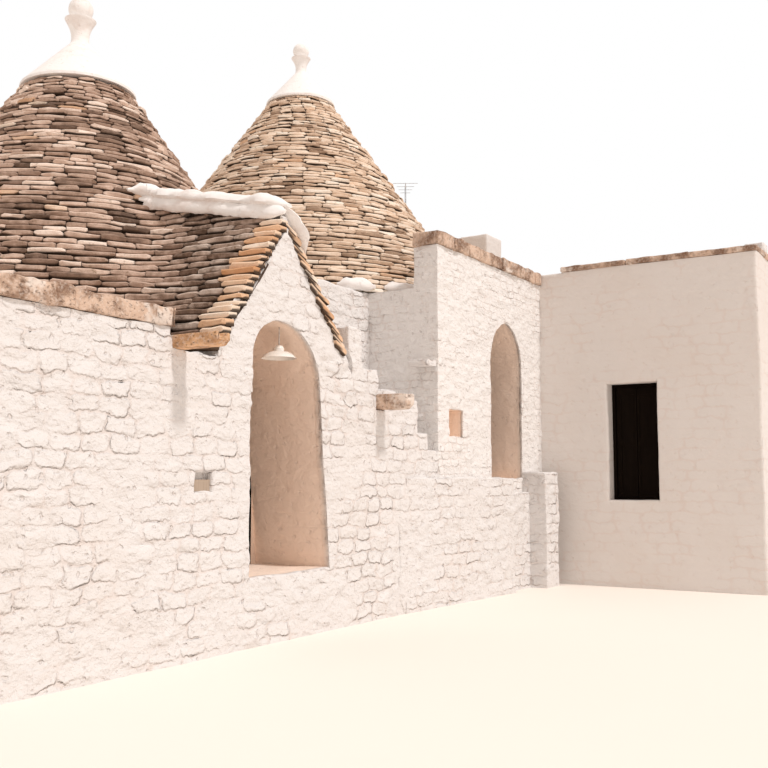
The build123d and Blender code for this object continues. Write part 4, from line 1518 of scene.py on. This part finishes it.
class House:
    """The whole trullo: which node gets which work."""

    RUBBLE = ("left_end_wall", "back_wall_left", "front_wall_left", "arch_jamb_left", "arch_jamb_right",
              "gable_wall", "stepped_wall", "inner_front_wall", "party_wall", "shoulder_wall", "niche_floor",
              "right_wall", "back_wall_right", "doorstep")
    PITTED = ("tall_front",)
    RENDERED = ("wing_end_wall", "wing_wall_near_door", "wing_wall_beyond_door", "wing_wall_over_door",
                "wing_door_sill", "wing_outer_wall", "wing_roof", "chimney")

    def __init__(self, frame: dict, palette: Palette) -> None:
        """Note the frame and the finishes.

        Args:
            palette: The finishes.
        """
        self.nodes = frame["nodes"]
        self.palette = palette
        self.mason = Mason(self.nodes)

    def walls(self) -> None:
        """Lay the rubble and rendered walls."""
        fine = Relief(sway=0.010, stone=0.015, rough=0.009, cells=(5.2, 5.2, 8.0), shown=0.0)
        smooth = Relief(sway=0.012, stone=0.004, rough=0.005, cells=(2.2, 2.2, 3.6), shown=0.0)
        for names, relief, coat, suffix in ((self.RUBBLE, Relief(), self.palette.rubble, "limewashed"),
                                            (self.PITTED, fine, self.palette.pitted, "limewashed"),
                                            (self.RENDERED, smooth, self.palette.render_coat, "rendered")):
            for name in names:
                self.mason.lay(name, f"{name}_{suffix}", coat, "limewash", relief,
                               0.08 if suffix == "rendered" else 0.045)

    def _joints(self, name: str, axes: Sequence[int], closest: float, widest: float,
                seed: int) -> list[tuple[int, float]]:
        """Draw where a row of stones is jointed.

        Args:
            name: The node.
            axes: Directions in which the row runs.
            closest: Shortest stone.
            widest: Longest stone.
            seed: Seed of the draws.

        Returns:
            Axis and level of every joint.
        """
        draw = random.Random(seed)
        low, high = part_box(name)
        planes = []
        for axis in axes:
            level = low[axis] + draw.uniform(closest, widest)
            while level < high[axis] - closest:
                planes.append((axis, level))
                level += draw.uniform(closest, widest)
        return planes

    def trims(self) -> None:
        """Lay cornice, copings, spouts, loose stones and both cone caps."""
        rough = Relief(sway=0.014, stone=0.020, rough=0.014, cells=(3.4, 3.4, 6.0))
        worn = Relief(sway=0.010, stone=0.012, rough=0.006)
        rows = (("cornice", "stone", self.palette.stone, (0, 1), (0.55, 1.15), rough),
                ("tall_coping", "stone", self.palette.stone, (0,), (0.30, 0.75), rough),
                ("wing_coping", "stone", self.palette.stone, (0, 1), (0.60, 1.10), worn),
                ("spout_left", "stone", self.palette.ochre_and_shaded_stone, (), (1.0, 2.0), worn),
                ("spout_right", "stone", self.palette.stone, (), (1.0, 2.0), worn))
        for seed, (name, suffix, finish, axes, spacing, relief) in enumerate(rows):
            planes = self._joints(name, axes, *spacing, seed=40 + seed)
            self.mason.blocks(name, f"{name}_{suffix}", finish, "limestone", relief, planes, 60 + seed)
        for name, slot in (("side_stone", "limewash"), ("corner_stone", "limestone")):
            self.mason.blocks(name, f"{name}_limewashed", self.palette.rubble, slot, worn, (), 71, worn=0.03)
        plain_coat = Relief(sway=0.005, stone=0.0, rough=0.003)
        for name in ("cap_left", "cap_right"):
            self.mason.lay(name, f"{name}_plaster", self.palette.plaster, "plaster", plain_coat, 0.07, worn=0.012)

    def roofs(self) -> None:
        """Build both cones and the gable's slopes."""
        left_form = RoofForm((along(6.02), behind(3.735)), 3.05, 3.06, 0.70, gable=True)
        right_form = RoofForm((along(1.57), behind(3.53)), 4.05, 3.12, 0.708)
        own = ("cone_left", "gable_roof_left", "gable_roof_right", "gable_wall", "ridge_cap")
        left = SlabCourses(left_form, Surroundings(self.nodes, own), 11, 2.74, 6.41)
        right = SlabCourses(right_form, Surroundings(self.nodes, ("cone_right",)), 23, 4.05, 7.67, courses=(0.070, 0.052))
        for name, courses, finish in (("cone_left", left, self.palette.roof),
                                      ("cone_right", right, self.palette.pale_and_sunlit_roof)):
            cone = ConeRoof(name, courses, self.palette, finish)
            cone.core(self.nodes[name])
            cone.slabs()
        for side in ("left", "right"):
            self.gable_core(side, left_form)
        self.ridge_plaster(left_form)
        self.foot_plaster(right_form)
        step = bmesh.new()
        spine = [Vector((along(4.18), behind(-0.002), 0.02 + 0.155 * index)) for index in range(11)]
        Smear(spine, 0.12, 0.026, lean=Vector((0, -1, 0))).add_to(step)
        as_piece(step, "bench_fillet", (self.palette.rubble,), stands_for=("doorstep",))

    def ridge_plaster(self, form: RoofForm) -> None:
        """Throw plaster over the ridge's end at the cone and down the gable's right verge.

        Args:
            form: The left roof's outline.
        """
        mesh = bmesh.new()
        crest = [Vector((form.ridge_x, y, form.crest(y) + 0.02))
                 for y in (form.front_y + 0.02 + 0.1 * index for index in range(30))]
        crest = [place for place in crest if place.z < form.ridge_top(place.y) + 0.10]
        rounds = Track(form.outline(crest[-1].z))
        bend = min(rounds.marks, key=lambda mark: (rounds.at(mark)[0] - crest[-1]).length)
        crest += [rounds.at(bend + 0.1 * index)[0] for index in range(1, 4)]
        Smear(crest, 0.15, 0.10).add_to(mesh)
        for side in (-1, 1):
            drape = [place + Vector((side * 0.075, 0, -0.08)) for place in crest[:-2]]
            Smear(drape, 0.11, 0.07, lean=Vector((side * 0.8, 0, 0.6))).add_to(mesh)
        top = form.ridge_top(form.front_y)
        verge = []
        for drop in (-0.04, 0.08, 0.2, 0.3, 0.4):
            right = form.gable_sides(form.front_y, top - drop)[1]
            verge.append(Vector((right, form.front_y + 0.09, top - drop)))
        Smear(verge, 0.15, 0.06, lean=Vector((0.8, 0, 0.6))).add_to(mesh)
        as_piece(mesh, "ridge_plaster", (self.palette.plaster,), stands_for=("ridge_cap",),
                 sharp_above=60.0)

    def foot_plaster(self, form: RoofForm) -> None:
        """Throw lime on the foot of the right cone, where it meets the walls.

        Args:
            form: The right roof's outline.
        """
        mesh = bmesh.new()
        for first, last in ((226, 236), (238.5, 249)):
            spine = []
            for index in range(9):
                turn = math.radians(first + (last - first) * index / 8)
                level = form.base + 0.09
                reach = form.cone_radius(level) + 0.03
                spine.append(Vector((form.centre[0] + reach * math.cos(turn),
                                     form.centre[1] + reach * math.sin(turn), level)))
            Smear(spine, 0.11, 0.10, lean=Vector((-0.4, -0.5, 0.77))).add_to(mesh)
        as_piece(mesh, "foot_plaster", (self.palette.plaster,), stands_for=("cone_right",),
                 sharp_above=60.0)

    def gable_core(self, side: str, form: RoofForm) -> None:
        """Copy one gable slope with its top, front and foot drawn in, and bed its verge in lime.

        Args:
            side: "left" or "right".
            form: The roof's outline.
        """
        name = f"gable_roof_{side}"
        bed = bmesh.new()
        spine = []
        for index in range(14):
            level = form.foot_level + 0.02 + index * (form.peak + 0.10 - form.foot_level) / 13
            places = form.gable_sides(form.front_y, level + form.thick * 0.62)
            spine.append(Vector((places[side == "right"], form.front_y + 0.10, level)))
        Smear(spine, 0.05, 0.045, lean=Vector((0, -1, 0)), around=8).add_to(bed)
        as_piece(bed, f"{name}_bedding", (self.palette.rubble,), stands_for=(name,))
        mesh = merged_copy(self.nodes[name])
        foot = max(abs(vert.co.x - form.ridge_x) for vert in mesh.verts)
        for vert in mesh.verts:
            left, right = form.gable_sides(vert.co.y, vert.co.z)
            past = vert.co.x - left if side == "left" else right - vert.co.x
            if abs(past) < 0.02:
                vert.co.z -= 0.11
            if vert.co.y < form.front_y + 0.01:
                vert.co.y += 0.16
            if abs(vert.co.x - form.ridge_x) > foot - 0.03:
                vert.co.x += math.copysign(0.17, form.ridge_x - vert.co.x)
        as_piece(mesh, f"{name}_core", (self.palette.earth_and_shade_core,), stands_for=(name,))

    def finishes(self) -> None:
        """Give the carried-over nodes their materials."""
        given = {
            self.palette.dark_and_shaded_timber: ("arch_door_frame", "arch_door_leaf_left", "arch_door_leaf_right",
                                  "pointed_door", "wing_door_frame", "wing_door_leaf_far",
                                  "wing_door_leaf_near"),
            self.palette.bleached_timber: ("pocket_plug",),
            self.palette.enamel: ("lamp_shade",),
            self.palette.iron: ("lamp_rod",),
            self.palette.bulb: ("lamp_bulb",),
            self.palette.aluminium: ("aerial",),
            self.palette.plaster: ("pinnacle_ball_left", "pinnacle_ball_right"),
            self.palette.paving: ("floor_left", "floor_right", "wing_floor"),
        }
        for material, names in given.items():
            for name in names:
                for holder in self.nodes[name].material_slots:
                    holder.material = material


# Stage


@dataclass
class Studio:
    """Camera, floor, light and backdrop."""

    eye: tuple[float, float, float] = (-11.08, -8.105, 1.57)
    yaw: float = 31.8
    pitch: float = 5.5
    lens: float = 46.5

    def camera(self) -> None:
        """Stand the camera where the photograph was taken."""
        data = bpy.data.cameras.new("camera")
        data.lens = self.lens
        data.sensor_width = 36
        data.clip_end = 500
        camera = bpy.data.objects.new("camera", data)
        yaw, pitch = math.radians(self.yaw), math.radians(self.pitch)
        look = Vector((math.cos(pitch) * math.cos(yaw), math.cos(pitch) * math.sin(yaw), math.sin(pitch)))
        camera.location = self.eye
        camera.rotation_mode = "QUATERNION"
        camera.rotation_quaternion = look.to_track_quat("-Z", "Y")
        bpy.context.scene.collection.objects.link(camera)
        bpy.context.scene.camera = camera

    def floor(self) -> None:
        """Lay the pale floor."""
        graph = Graph("studio_floor")
        colour = graph.mix(graph.noise(graph.place(), 0.3), (0.91, 0.84, 0.775), (0.89, 0.82, 0.755))
        mesh = bmesh.new()
        bmesh.ops.create_grid(mesh, x_segments=1, y_segments=1, size=150)
        data = bpy.data.meshes.new("floor")
        mesh.to_mesh(data)
        mesh.free()
        data.materials.append(graph.surface(Base_Color=colour, Roughness=0.9))
        floor = bpy.data.objects.new("floor", data)
        bpy.context.scene.collection.objects.link(floor)

    def light(self) -> None:
        """Hang one broad high lamp and a soft sky."""
        data = bpy.data.lights.new("key", "SUN")
        data.energy = 1.85
        data.angle = math.radians(6)
        data.color = (1.0, 0.955, 0.925)
        key = bpy.data.objects.new("key", data)
        key.rotation_mode = "QUATERNION"
        key.rotation_quaternion = Vector((0.0, 0.52, -0.76)).to_track_quat("-Z", "Y")
        bpy.context.scene.collection.objects.link(key)
        world = bpy.data.worlds.new("world")
        bpy.context.scene.world = world
        world.use_nodes = True
        tree = world.node_tree
        tree.nodes.clear()
        rays = tree.nodes.new("ShaderNodeLightPath")
        seen = rays.outputs["Is Camera Ray"]
        for kind in ("Is Glossy Ray", "Is Transmission Ray"):
            either = tree.nodes.new("ShaderNodeMath")
            either.operation = "MAXIMUM"
            tree.links.new(seen, either.inputs[0])
            tree.links.new(rays.outputs[kind], either.inputs[1])
            seen = either.outputs[0]
        sky = tree.nodes.new("ShaderNodeBackground")
        sky.inputs[0].default_value = (1.0, 0.90, 0.835, 1)
        sky.inputs[1].default_value = 0.76
        white = tree.nodes.new("ShaderNodeBackground")
        white.inputs[0].default_value = (1, 1, 1, 1)
        both = tree.nodes.new("ShaderNodeMixShader")
        out = tree.nodes.new("ShaderNodeOutputWorld")
        tree.links.new(seen, both.inputs[0])
        tree.links.new(sky.outputs[0], both.inputs[1])
        tree.links.new(white.outputs[0], both.inputs[2])
        tree.links.new(both.outputs[0], out.inputs[0])

    def set_up(self) -> None:
        """Build the stage."""
        bpy.context.scene.view_settings.view_transform = "Standard"
        self.camera()
        self.floor()
        self.light()


def plain(corners: tuple[Vector, Vector]) -> list[list[float]]:
    """Two corners as plain lists of numbers."""
    return [list(corner) for corner in corners]


def main() -> None:
    """Build every sub-assembly in order."""
    logging.basicConfig(level=logging.INFO, format="%(message)s")
    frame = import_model()
    palette = Palette()
    house = House(frame, palette)
    house.walls()
    house.trims()
    house.roofs()
    house.finishes()
    Studio().set_up()


if __name__ == "__main__":
    main()
